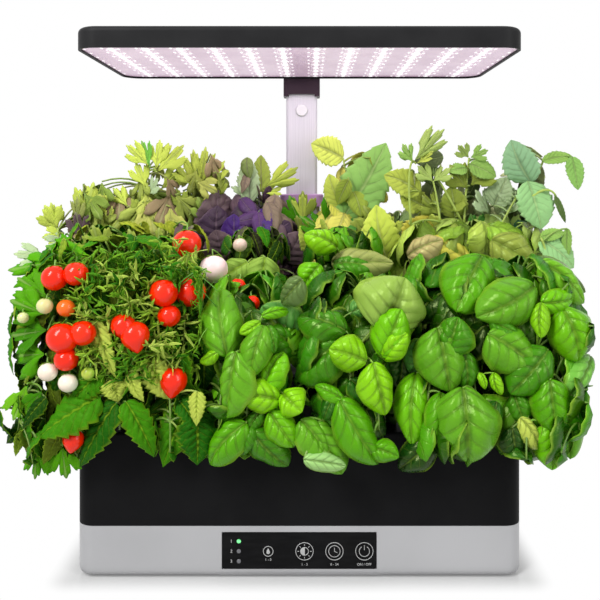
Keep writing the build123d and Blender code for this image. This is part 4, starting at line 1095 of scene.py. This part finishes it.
class Plant(Leafy):
    def spots(self, spacing):
        """Evenly scattered places on the crown's outside, each with the way that it faces."""
        places, misses = [], 0
        while misses < tries:
            look = unit(rng.normal(size=3))
            start = rng.uniform(self.low, self.high) - look * ray_start
            hit, way, _, _ = self.crown.ray_cast(Vector(start), look)
            misses += 1
            if hit is None or hit.z < lowest_spot or (not self.front and hit.z < deck_spot):
                continue
            hit, way = np.array(hit), np.array(way)
            if places and np.linalg.norm(np.asarray(places) - hit, axis=1).min() < spacing:
                continue
            way = way if way @ look < 0 else -way
            others = [crown for crown in crowns.values() if crown is not self.crown]
            buried = any(other.ray_cast(hit + way * 0.002, way, buried_within)[0] for other in others)
            places.append(hit)
            misses = 0
            if not (buried and rng.uniform() < buried_skipped):
                yield hit, way

    def fill(self, form, spacing, lengths, ratio, palette):
        """Leaves all over the crown like shingles, and darker ones further in, as painted shade."""
        middle = (self.low + self.high) / 2
        for place, way in list(self.spots(spacing)):
            sprig = self.lid == no_lid and place[2] > self.fill_top + 0.004
            if sprig and rng.uniform() > airy:
                continue
            seen = way @ unit(view_point - place) > 0.1
            in_front = seen and place[1] < (front_zone if self.front else rear_zone)
            out = unit((place - middle) * (1, 1, 0))
            for deep in (False, True):
                if deep and (sprig or rng.uniform() > 0.5):
                    continue
                depth = rng.uniform(*(inner_depth if deep else outer_depth))
                # painted shade: inner leaves, and those behind the listed leaves, are tinted darker; outer
                # ones vary in tone at random
                shade = rng.uniform(*(inner_shade if deep else outer_shade))
                if in_front:
                    far = self.front and self.lid < no_lid and place[2] >= hanging
                    depth += far_step_back if far else step_back
                    shade *= shaded
                if place[2] < low_sides and abs(way[0]) > 0.5:
                    depth += fold_in
                centre = place - way * depth
                face = unit(way * (1, 1, 0.5) + out * 0.6 + (0, -0.3, 0.2) + rng.normal(size=3) * 0.3)
                axis = out * max(0.0, way[2]) + (0, 0, -0.8) + rng.normal(size=3) * 0.45
                axis = unit(axis - np.dot(axis, face) * face)
                length = rng.uniform(*lengths) * (0.75 if sprig else 1)
                half = axis * length * 0.5
                lowest = hem - half[2] if self.front else 0
                centre[2] = min(max(centre[2], lowest), self.lid)
                base, tip = centre - half, centre + half
                if any(self.in_the_way(point) for point in (base, tip, centre)):
                    continue
                colour = np.array(linear(palette[rng.integers(len(palette))])) * shade
                self.leaf(form, base, tip, face, length * ratio * rng.uniform(0.85, 1.1), tuple(colour))

    def finish(self):
        """Turns what the plant has gathered into pieces that take its node's place."""
        kinds = (
            (self.leaves, "leaves", self.skin),
            (self.fans, "fronds", "parsley"),
            (self.stems, "stems", "stem"),
            (self.fruit, "fruit", "fruit"),
        )
        pieces = [
            gathering.build(self.node + "_" + word, skins[skin], self.slot, [self.node])
            for gathering, word, skin in kinds
            if gathering.count
        ]
        faces = sum(len(piece.data.polygons) for piece in pieces)
        print(self.node, "pieces", len(pieces), "faces", faces)


print("outer and inner leaves stand back mm:", [round(d * 1000) for d in (*outer_depth, *inner_depth)])

# %% Twelve plants in their pods
garden = {
    "T1": Plant("tomato_plant_1", 0, 0, "tomato", "tomato_leaves"),
    "T2": Plant("tomato_plant_2", 0, 1, "tomato", "tomato_leaves"),
    "T3": Plant("tomato_plant_3", 1, 1, "tomato", "tomato_leaves"),
    "P": Plant("parsley_plant", 0, 2, "parsley", "parsley_leaves", 0.34),
    "U": Plant("purple_basil_plant", 1, 2, "purple", "purple_leaves", 0.335),
    "L": Plant("lemon_balm_plant", 2, 2, "mint", "mint_leaves", 0.325),
    "M": Plant("mint_plant", 3, 2, "mint", "mint_leaves", 0.325),
    "B1": Plant("basil_plant_1", 1, 0, "basil", "basil_leaves", lid=0.246),
    "B2": Plant("basil_plant_2", 2, 0, "basil", "basil_leaves", lid=0.250),
    "B3": Plant("basil_plant_3", 2, 1, "basil", "basil_leaves", lid=0.290),
    "B4": Plant("basil_plant_4", 3, 0, "basil", "basil_leaves", lid=0.268),
    "B5": Plant("basil_plant_5", 3, 1, "basil", "basil_leaves", lid=0.298),
}
print("plants rooted:", len(garden))

# %% [markdown]
# ## Placing one by one
# Random leaves alone would make any garden. The stems and leaves that make this one recognisable are listed
# one by one. Their places are written as points of the 600 by 600 frame, across and down, with a depth along
# Y in millimetres, and the same sums as the camera's turn those into places in the room.

# %% From frame to room
def spot_at(column, row, depth):
    """The place in the room of a frame point at a depth in millimetres."""
    depth = depth / 1000
    away = (depth - view_point[1]) / frame_scale
    across, up = (column - eye_column) * away, (eye_row - row) * away
    return np.array([view_point[0] + across, depth, view_point[2] + up])


def frame_size(points, depth):
    """The length in the room of so many frame points at a depth in millimetres."""
    return points * (depth / 1000 - view_point[1]) / frame_scale


print("a frame point at the mast is mm:", round(frame_size(1, mast_room[1] * 1000) * 1000, 2))

# %% [markdown]
# ## Stems that stand above the crowns
# Each line gives the plant, three frame points that the stem passes through and its depth.

# %% Upper stems
stem_table = """
M 411 225 409 180 413 160 -3
M 440 222 437 200 433 181 -3
M 462 222 441 184 433 176 2
M 464 226 466 190 469 158 3
M 484 268 508 212 531 180 -10
M 545 275 546 255 541 238 -33
M 531 181 540 168 543 160 -8
M 528 200 545 190 556 196 -26
L 362 255 350 228 344 213 45
L 352 240 349 195 343 158 57
L 404 285 404 270 404 260 22
P 150 225 146 195 149 165 50
P 195 235 196 208 199 187 60
P 66 268 60 246 58 228 36
P 92 268 86 245 84 227 28
P 108 262 108 248 107 233 38
P 150 262 146 240 145 224 54
U 262 262 259 230 257 198 58
U 262 240 264 210 265 190 57
U 300 262 302 244 305 224 52
"""
lower_green, upper_green = linear("8fa845"), linear("a9bf58")


def rows_of(table):
    return [line.split() for line in table.splitlines() if line.strip()]


for plant, *numbers in rows_of(stem_table):
    *pairs, depth = [float(n) for n in numbers]
    points = [spot_at(pairs[i], pairs[i + 1], depth) for i in (0, 2, 4)]
    garden[plant].stalk(points[0], lower_green, 0.0013)
    path = arch(points[0], 2 * points[1] - (points[0] + points[2]) / 2, points[2], 10)
    garden[plant].stem(path, 0.0014, 0.0010, upper_green)
print("upper stems:", len(rows_of(stem_table)))

# %% [markdown]
# ## Listed leaves
# Each line gives the plant, the leaf's form, the frame points of its stalk end and of its tip, its width in
# frame points, its depth and its colour. Colours have names, because a leaf is easier to judge as "sheen" or
# "deep" than as a code.

# %% Colours of leaves
# pinkolive is painted light: the grow lamp's pink glow on a green leaf
colours = {
    "dark": "123c0a", "deep": "1d5a0c", "mid": "3a7c0c", "fresh": "50980a", "bright": "66b00c",
    "lime": "7cbc10", "sheen": "5c9c1c", "pale": "6cac40", "grass": "4e960e", "grasslight": "68a81e",
    "greydark": "58723c", "deepmid": "4c8838", "blue": "3c6b52", "balm": "86b45c", "soft": "8cb458",
    "mint": "98c884", "mintblue": "94c090", "palegreen": "98c474", "sage": "aabf92", "faint": "a4bc64",
    "greenolive": "84a444", "olive": "b4c452", "darkolive": "8c9c40", "oliveyellow": "ccc24c",
    "limeyellow": "d2e45c", "lemon": "dcea6c", "yellow": "b8b444", "pinkolive": "aca068",
    "brown": "8c9450", "plum": "66525a", "purple": "4d3a50", "purpledark": "38233f", "violet": "4b2a78",
}
print("leaf colours:", len(colours))

# %% Leaves of the front tomato
tomato_table = """
T1 tomato 100 396 38 438 46 -148 mid
T1 tomato 46 398 22 429 19 -144 dark
T1 tomato 116 403 80 467 35 -154 deep
T1 tomato 126 402 154 457 29 -154 mid
T1 tomato 192 396 163 467 40 -144 mid
T1 tomato 196 418 207 465 42 -150 deep
T1 tomato 178 400 204 430 22 -150 deep
T1 tomato 202 392 218 426 18 -154 olive
T1 tomato 214 404 200 460 30 -142 deep
T1 tomato 100 372 72 402 30 -138 mid
T1 tomato 112 380 118 402 26 -144 olive
T1 tomato 150 362 172 400 30 -142 olive
T1 tomato 130 372 144 402 18 -146 olive
T1 tomato 216 344 212 392 38 -110 dark
T1 tomato 96 322 116 378 22 -140 olive
T1 tomato 178 352 190 392 26 -138 mid
T1 fan 38 443 32 487 25 -148 grass
T1 fan 62 446 66 483 36 -142 grass
T1 fan 27 384 14 420 30 -150 grasslight
T1 fan 42 390 28 412 24 -144 mid
T1 fan 46 354 8 356 52 -138 grass
T1 fan 48 330 14 336 40 -128 mid
T1 fan 46 314 8 300 46 -134 grass
T1 fan 48 298 18 278 34 -122 grass
T1 fan 60 262 6 268 44 -112 grass
T1 fan 48 256 14 254 26 -106 sage
T1 fan 100 260 40 252 30 -100 fresh
"""
print("tomato leaves:", len(rows_of(tomato_table)))

# %% Leaves of parsley and purple basil, and of the tomato before them
rear_left_table = """
P fan 58 230 32 206 40 40 olive
P fan 58 230 52 203 20 42 olive
P fan 64 234 31 238 26 36 olive
P fan 70 240 44 236 28 34 sage
P fan 84 230 91 183 36 30 olive
P fan 84 232 96 196 26 32 darkolive
P fan 78 228 76 197 20 26 brown
P fan 82 240 76 212 22 24 plum
P fan 107 235 111 206 13 40 olive
P fan 104 240 98 212 20 38 darkolive
P fan 128 207 112 187 17 45 olive
P fan 145 226 128 188 42 55 darkolive
P fan 146 228 146 192 30 56 darkolive
P fan 133 227 117 212 14 50 olive
P fan 146 188 136 163 20 50 olive
P fan 148 196 158 178 22 52 sage
P fan 150 166 127 145 18 52 olive
P fan 150 167 143 141 16 50 pale
P fan 156 170 160 140 20 48 olive
P fan 157 172 184 146 34 46 olive
P fan 160 190 184 168 20 50 olive
P fan 199 188 193 150 20 60 olive
P fan 200 188 207 148 20 60 olive
P fan 202 189 225 162 18 60 olive
P fan 197 188 175 164 18 58 olive
P fan 214 200 222 176 22 58 darkolive
P fan 180 210 176 188 24 60 darkolive
T2 fan 112 266 66 244 40 -50 mid
T2 fan 150 278 100 246 42 -54 mid
T2 fan 84 264 44 246 36 -48 grass
T2 fan 104 256 92 226 32 -44 darkolive
T2 fan 136 262 126 230 36 -48 darkolive
T2 fan 160 262 158 228 32 -46 darkolive
T2 fan 172 254 192 226 28 -40 plum
P fan 150 262 120 232 34 20 darkolive
P fan 156 250 160 226 28 40 darkolive
U fan 257 200 237 176 24 60 sage
U mint 250 202 247 157 22 58 sage
U mint 262 192 261 155 19 62 darkolive
U fan 264 188 298 167 20 56 olive
U fan 262 194 282 186 16 54 olive
U fan 258 214 232 200 20 56 darkolive
U fan 300 226 288 196 34 52 mid
U fan 306 224 302 194 22 54 olive
U fan 312 224 318 191 28 54 darkolive
U fan 310 240 296 216 34 46 darkolive
U purple 206 246 166 206 42 44 purple
U purple 218 240 214 190 46 50 plum
U purple 240 246 251 200 44 46 purple
U purple 262 252 290 222 40 38 purpledark
U purple 232 256 234 214 34 34 violet
U purple 286 262 304 232 34 36 plum
U purple 192 220 178 190 34 54 plum
U purple 250 240 268 208 36 42 violet
U purple 222 262 204 230 36 30 plum
"""
print("leaves at the rear left:", len(rows_of(rear_left_table)))

# %% Leaves of lemon balm and mint
rear_right_table = """
L mint 343 158 311 143 31 57 lemon
L mint 344 216 386 141 50 45 balm
L mint 346 210 329 174 24 48 olive
L mint 402 194 372 198 18 40 oliveyellow
L mint 404 264 376 205 40 22 limeyellow
L mint 352 242 376 214 30 30 darkolive
L mint 330 236 360 222 26 34 deepmid
L fan 325 228 334 197 18 52 mid
L fan 334 238 298 216 24 44 mid
L mint 312 250 290 226 26 34 olive
L fan 392 240 404 214 34 20 olive
L fan 380 232 364 206 34 24 darkolive
M fan 413 163 404 144 22 -5 soft
M fan 414 161 445 130 20 -8 faint
M fan 416 164 434 152 18 -5 olive
M mint 420 192 384 175 28 10 olive
M fan 433 182 419 165 22 0 faint
M fan 433 182 450 167 22 0 faint
M mint 425 206 400 192 26 12 olive
M fan 469 158 458 145 18 0 faint
M fan 470 158 488 150 18 0 soft
M mint 470 164 496 177 22 0 soft
M mint 466 168 449 172 18 0 soft
M mint 455 218 451 186 28 5 darkolive
M mint 494 206 507 177 28 0 sage
M mint 500 188 518 205 20 0 sage
M mint 531 182 511 140 35 -5 mintblue
M mint 543 161 573 157 16 -10 soft
M mint 572 157 591 190 18 -20 balm
M mint 528 182 541 229 42 -25 mint
M mint 555 196 567 223 7 -30 greydark
M mint 541 240 577 269 32 -35 mint
M mint 541 237 567 233 13 -32 soft
M mint 569 229 571 259 10 -36 soft
M mint 490 248 464 222 36 10 faint
M mint 500 248 526 222 36 8 blue
M mint 478 240 500 216 34 12 faint
M mint 440 240 420 212 34 14 olive
M mint 410 244 430 216 34 10 oliveyellow
M fan 468 190 450 165 34 2 darkolive
M fan 470 186 492 166 34 2 darkolive
M fan 440 215 424 196 30 6 darkolive
M fan 446 214 462 192 30 6 darkolive
M fan 490 215 476 190 32 4 sage
M fan 500 214 516 192 30 4 sage
M fan 430 240 440 214 34 8 olive
M fan 480 238 470 214 32 8 deepmid
M fan 508 240 520 216 32 6 faint
"""
print("leaves at the rear right:", len(rows_of(rear_right_table)))

# %% Leaves of the basil in the middle
middle_table = """
B1 basil 227 356 219 287 44 -132 sheen
B1 basil 264 326 250 379 33 -144 sheen
B1 basil 268 326 274 353 20 -140 mid
B1 basil 236 352 227 418 46 -148 sheen
B1 basil 264 393 284 352 32 -142 bright
B1 basil 280 400 240 395 35 -156 lime
B1 basil 283 393 322 412 35 -158 lime
B1 basil 270 412 294 447 32 -152 bright
B1 basil 252 432 288 466 36 -148 mid
B1 basil 246 423 210 464 38 -152 fresh
B1 basil 250 426 243 455 24 -148 mid
B1 basil 218 352 200 362 14 -136 lime
B1 basil 262 316 290 312 13 -134 bright
B1 basil 260 322 240 334 15 -136 lime
B1 basil 300 334 262 306 44 -116 deepmid
B1 basil 296 352 270 330 36 -112 mid
B1 basil 262 410 248 432 18 -140 mid
T3 basil 243 268 208 297 38 -104 greenolive
T3 basil 262 262 256 306 42 -98 greenolive
B1 basil 312 240 282 304 32 -140 greydark
B3 basil 320 266 302 291 30 -62 bright
B3 basil 337 248 304 235 30 -52 lime
B3 basil 332 262 403 263 34 -40 brown
B3 basil 334 264 372 268 30 -44 mid
B2 basil 378 328 454 270 78 -136 greenolive
B3 basil 350 300 330 284 24 -60 fresh
B3 basil 352 296 372 280 26 -58 fresh
B5 basil 408 256 443 240 32 -20 pinkolive
B5 basil 472 264 430 238 30 -10 yellow
B5 basil 440 290 450 262 26 -30 deepmid
B2 basil 346 331 298 317 40 -116 mid
B2 basil 336 345 289 379 50 -124 mid
B2 basil 404 350 398 388 36 -122 dark
B2 basil 366 361 329 349 38 -156 lime
B2 basil 381 356 401 309 42 -146 bright
B2 basil 384 359 415 333 28 -149 lime
B2 basil 373 363 385 415 40 -158 lime
B2 basil 344 400 315 386 18 -148 fresh
B2 basil 340 400 378 464 42 -156 fresh
B2 basil 370 448 399 457 24 -158 fresh
B2 basil 301 420 327 460 38 -156 sheen
B2 basil 316 424 342 474 46 -150 sheen
B2 basil 304 460 346 466 20 -168 palegreen
B2 basil 334 396 324 420 20 -142 deep
B2 basil 350 380 372 402 26 -138 deep
B2 basil 352 312 366 302 20 -118 deepmid
"""
print("leaves in the middle:", len(rows_of(middle_table)))

# %% Leaves of the basil on the right
right_table = """
B4 basil 416 373 412 445 37 -152 bright
B4 basil 438 328 450 392 56 -142 sheen
B4 basil 432 342 410 373 34 -138 deepmid
B4 basil 446 354 458 317 42 -136 mid
B4 basil 462 350 466 391 32 -122 mid
B4 basil 463 388 468 462 70 -164 sheen
B4 basil 441 393 435 447 30 -150 fresh
B4 basil 488 334 534 366 52 -130 sheen
B4 basil 490 320 518 334 20 -120 mid
B4 basil 548 350 510 394 48 -124 mid
B4 basil 541 303 541 338 20 -130 lime
B4 basil 562 308 578 361 48 -132 bright
B4 basil 590 356 567 397 32 -126 pale
B4 basil 550 380 556 432 42 -146 fresh
B4 basil 550 424 552 470 37 -142 bright
B4 basil 572 396 570 459 28 -124 sheen
B4 basil 514 394 524 423 28 -116 mid
B4 basil 512 428 516 459 30 -142 dark
B4 basil 434 440 398 469 34 -138 dark
B4 basil 480 373 485 389 10 -132 lime
B4 basil 494 373 501 395 13 -132 lime
B4 basil 520 418 538 449 22 -136 olive
B4 basil 534 286 476 317 50 -122 sheen
B4 basil 541 303 572 297 26 -124 bright
B4 basil 540 262 584 303 38 -112 grasslight
B4 basil 536 260 590 292 26 -92 greydark
B4 basil 497 402 480 436 28 -130 deep
B5 basil 492 240 538 272 46 -38 darkolive
B4 basil 482 256 456 312 58 -112 fresh
B4 basil 480 262 508 288 38 -70 mid
"""
leaf_table = tomato_table + rear_left_table + rear_right_table + middle_table + right_table
print("leaves on the right:", len(rows_of(right_table)), "and in all:", len(rows_of(leaf_table)))

# %% [markdown]
# ## Laying the table's leaves on the crowns
# A listed depth can't know how a crown bulges. So a ray from the camera finds the crown, and the leaf is laid
# on it: on a front plant, front_depth lies just behind the crown's surface, and of each millimetre more only
# a share is kept. A leaf whose ray meets no crown stays at the depth that its line gives.

# %% Laying the leaves
front_depth, depth_share = -158.0, 0.4
front_crown = -90.0  # a crown's surface nearer than this counts as front
tuck, rear_tuck, rear_share = 2.0, 3.0, 0.3
facing = np.array((0.0, -1.0, 0.5))
tilt = 3.0  # a leaf's tip is nearer than its middle by this, and its stalk end further


def place_on(plant, column, row, depth):
    """The place on a plant's crown that is seen at a frame point."""
    flat = spot_at(column, row, depth)
    hit = plant.crown.ray_cast(view_point, Vector(flat - view_point).normalized())[0]
    if hit is None:
        return flat
    skin = hit.y * 1000
    if plant.front and skin < front_crown:
        return spot_at(column, row, skin + tuck + (depth - front_depth) * depth_share)
    return spot_at(column, row, min(depth, skin + rear_tuck + abs(depth - skin) * rear_share))


for name, form, *numbers, colour in rows_of(leaf_table):
    bx, by, tx, ty, wide, depth = [float(n) for n in numbers]
    plant = garden[name]
    lean = rng.normal(size=3) * (0.28, 0.0, 0.25)
    tint = tuple(np.array(linear(colours[colour])) * rng.uniform(0.92, 1.08))
    base, tip = place_on(plant, bx, by, depth + tilt), place_on(plant, tx, ty, depth - tilt)
    plant.leaf(form, base, tip, facing + lean, frame_size(wide, depth), tint, fine=True)
print("leaves laid by hand, points so far:", sum(plant.leaves.count for plant in garden.values()))

# %% [markdown]
# ## Tomatoes
# A cherry tomato is a flattened ball with a slight nipple on some kinds, a star of sepals where the stalk
# joins and a skin as glossy as lacquer. A plain sphere would miss the dent round the stalk, so the outline is
# written as a sum and turned. Unripe fruit is pale green or white. Each hangs from its plant's nearest
# branch. A line of the table gives the plant, the frame point of the middle, the radius in frame points, the
# depth, the ripeness and whether it has a nipple.


# %% A berry
berry_rows, berry_columns = 19, 28
flattening = 0.94


def berry(gathering, centre, radius, tint, nipple, hang):
    """A fruit that hangs along hang; returns its top and the three ways that its sepals are laid by."""
    rows, columns = berry_rows, berry_columns
    polar = np.linspace(0.04, math.pi - 0.03, rows)
    turn = 2 * math.pi * np.arange(columns) / columns
    p, a = np.meshgrid(polar, turn, indexing="ij")
    lobes = 1 + 0.018 * np.cos(5 * a) * np.exp(-((p / 0.9) ** 2))
    dent = 1 - 0.10 * np.exp(-((p / 0.35) ** 2))
    r = radius * np.sin(p) * lobes * (1 - 0.10 * nipple * (p / math.pi) ** 2)
    point = nipple * radius * 0.26 * np.exp(-(((math.pi - p) / 0.42) ** 2))
    z = radius * np.cos(p) * flattening * dent - point
    up = unit(hang)
    side = unit(np.cross(up, (0, 1, 0.1)))
    ahead = np.cross(up, side)
    points = (np.cos(a) * r)[..., None] * side + (np.sin(a) * r)[..., None] * ahead + z[..., None] * up
    faces = []
    for i in range(rows - 1):
        for j in range(columns):
            k = (j + 1) % columns
            faces.append([i * columns + j, (i + 1) * columns + j, (i + 1) * columns + k, i * columns + k])
    faces.append(list(range(columns)))
    faces.append([(rows - 1) * columns + j for j in range(columns)][::-1])
    places = np.stack([a / (2 * math.pi), p / math.pi], -1).reshape(-1, 2)
    gathering.add(points.reshape(-1, 3) + centre, faces, places, tint)
    return np.asarray(centre) + up * radius * flattening * 0.9, up, side, ahead


print("faces of a berry:", (berry_rows - 1) * berry_columns + 2)

# %% A berry with its sepals and stalk
sepals, sepal_green = 5, linear("6d9a35")


def tomato(plant, centre, radius, tint, nipple, hang):
    crown, up, side, ahead = berry(plant.fruit, centre, radius, tint, nipple, hang)
    for k in range(sepals):
        turn = 2 * math.pi * (k + rng.uniform(-0.1, 0.1)) / sepals
        out = math.cos(turn) * side + math.sin(turn) * ahead
        wobble = rng.uniform(-0.4, 0.4, 3)
        rows = leaf_rows["sliver"]
        sheet, places = blade("sliver", radius * 0.85, radius * 0.26, rows, sliver_columns, wobble)
        lay(plant.leaves, sheet, places, crown, out - 0.12 * up, up + 0.2 * out, sepal_green)
    knuckle = crown + up * radius * 0.55 + (0, 0.1 * radius, 0)
    stalk = arch(crown - up * radius * 0.1, crown + up * radius * 0.3, knuckle, 5)
    tube(plant.stems, stalk, 0.0008, sepal_green, 6)
    plant.stalk(knuckle, sepal_green, 0.0008)


print("sepals on each fruit:", sepals)

# %% The fruit
fruit_table = """
T1 62.4 338 16 -150 ripe 0
T1 82.8 333 13 -142 ripe 0
T1 66.3 359.3 12 -144 ripe 0
T1 73.3 439.5 11 -156 ripe 1
T1 54.5 278 12.8 -120 ripe 0
T1 76 274 12.2 -126 ripe 0
T1 66 308 9 -132 orange 0
T1 44.8 306 8.2 -140 pale 0
T1 23.2 317.7 5.9 -144 pale 0
T1 47.7 372 9.7 -150 white 0
T1 68 383 9.7 -149 white 0
T1 88 373.6 6.7 -146 green 0
T1 123.5 326 12.5 -132 ripe 0
T1 135 335.5 14.8 -146 ripe 1
T1 173 380.5 15 -154 ripe 1
T1 169 316 11.5 -124 ripe 0
T1 163.5 293 14.4 -132 ripe 0
T1 190.5 292 15.6 -122 ripe 0
T2 187 244 14.8 -88 ripe 1
T3 213.5 269 14.5 -80 blush 0
T3 238 286 8 -76 ripe 0
T3 252 303 8 -92 ripe 0
T3 240 245 7.2 -40 bud 0
"""
fruit_tints = {
    "ripe": "f42400", "orange": "ee6a1c", "pale": "d3dc9a", "white": "eef0dc", "green": "9fc94a",
    "blush": "f6e4e4", "bud": "d9bfae",
}
fruit_share = 0.3  # of a front fruit's depth behind front_depth, so that it stays outside the leaves
for name, *numbers, ripeness, nipple in rows_of(fruit_table):
    x, y, radius, depth = [float(n) for n in numbers]
    plant = garden[name]
    hang = (rng.uniform(-0.25, 0.25), 0.35, 1.0)
    nearer = front_depth + (depth - front_depth) * fruit_share if plant.front else depth
    centre, tint = place_on(plant, x, y, nearer), linear(fruit_tints[ripeness])
    tomato(plant, centre, frame_size(radius, depth), tint, float(nipple), hang)
print("fruit:", len(rows_of(fruit_table)))

# %% [markdown]
# ## Filling the crowns
# Behind the listed leaves each crown is filled all round, so the plants are full from the sides, the back and
# above. A seeded random draw spreads them; outer leaves are bright and inner ones dark, as painted shade.
# A line of the list gives the plant, the leaf's form, the spacing, the shortest and longest leaf, the width
# as a share of the length and the colours to draw from.

# %% Fill every crown
greens = "3c840c 30740c 4c9610 60a814 24600c"
fillings = (
    ("T1", "tomato", 0.0125, (0.024, 0.038), 0.52, "1d5a0c 2a6e10 3c8414 7f9a2c"),
    ("T2", "tomato", 0.0150, (0.026, 0.042), 0.52, "1d5a0c 2a6e10 4c8a18 8f9a2c"),
    ("T3", "tomato", 0.0160, (0.024, 0.038), 0.52, "2c5c1c 2a6e10 507a28 4d4a3c"),
    ("P", "fan", 0.0165, (0.028, 0.044), 1.0, "a8b254 96a44c bcc064 7c9440 9a8666"),
    ("U", "purple", 0.0150, (0.026, 0.040), 0.6, "6a5460 4c3448 8a7868 5c3a70 7c8c50"),
    ("L", "mint", 0.0160, (0.028, 0.042), 0.66, "b0b448 c4c450 8ca03c d0cc60"),
    # the pale greens of the mint and of the fifth basil below are partly their own colour and partly painted
    # light from the grow lamp
    ("M", "mint", 0.0170, (0.028, 0.044), 0.66, "b4c080 a0b47c c4cc94 88a464"),
    ("B1", "basil", 0.0195, (0.034, 0.054), 0.72, greens),
    ("B2", "basil", 0.0195, (0.034, 0.054), 0.72, greens),
    ("B3", "basil", 0.0195, (0.034, 0.054), 0.72, greens),
    ("B4", "basil", 0.0195, (0.034, 0.054), 0.72, greens),
    ("B5", "basil", 0.0200, (0.036, 0.056), 0.72, "a8c050 b4c460 88b038 98b054"),
)
for name, form, spacing, lengths, ratio, palette in fillings:
    garden[name].fill(form, spacing, lengths, ratio, palette.split())
print("crowns filled:", len(fillings))

# %% [markdown]
# ## Fine curled foliage
# Thin curled leaves hang among the tomatoes like threads. Hair could make them, but a finished model holds
# meshes only, so each is a narrow blade, with few rows because there are so many. They sit in tufts of
# fifteen on short twigs, and every twig has a stalk of its own, so that no tuft floats.

# %% Tufts among the tomatoes
tufts, slivers = 120, 15
twig_half, sliver_width = 0.014, 0.0027
sliver_lengths = (0.008, 0.017)
sliver_colours = "94bc3c 6ca428 b0c858 4c9020 2c7818".split()
plant = garden["T1"]
for _ in range(tufts):
    middle = place_on(plant, rng.uniform(78, 208), rng.uniform(252, 400), rng.uniform(-152, -112))
    away = unit(rng.normal(size=3) * (1, 0.5, 1) + (0, -0.6, 0.2))
    tint = linear(sliver_colours[rng.integers(len(sliver_colours))])
    bend = middle + rng.normal(size=3) * 0.004
    twig = arch(middle - away * twig_half, bend, middle + away * twig_half, 7)
    tube(plant.stems, twig, 0.0004, tint, 4)
    plant.stalk(twig[0], tint, 0.0006)
    for k in range(slivers):
        start = twig[k % len(twig)]
        out = unit(rng.normal(size=3) + away * 0.6 + (0, -0.5, 0))
        tip = start + out * rng.uniform(*sliver_lengths)
        plant.leaf("sliver", start, tip, rng.normal(size=3), sliver_width, tint)
print("slivers:", tufts * slivers)

# %% Every plant becomes its pieces
for plant in garden.values():
    plant.finish()

# %% [markdown]
# ## Finish
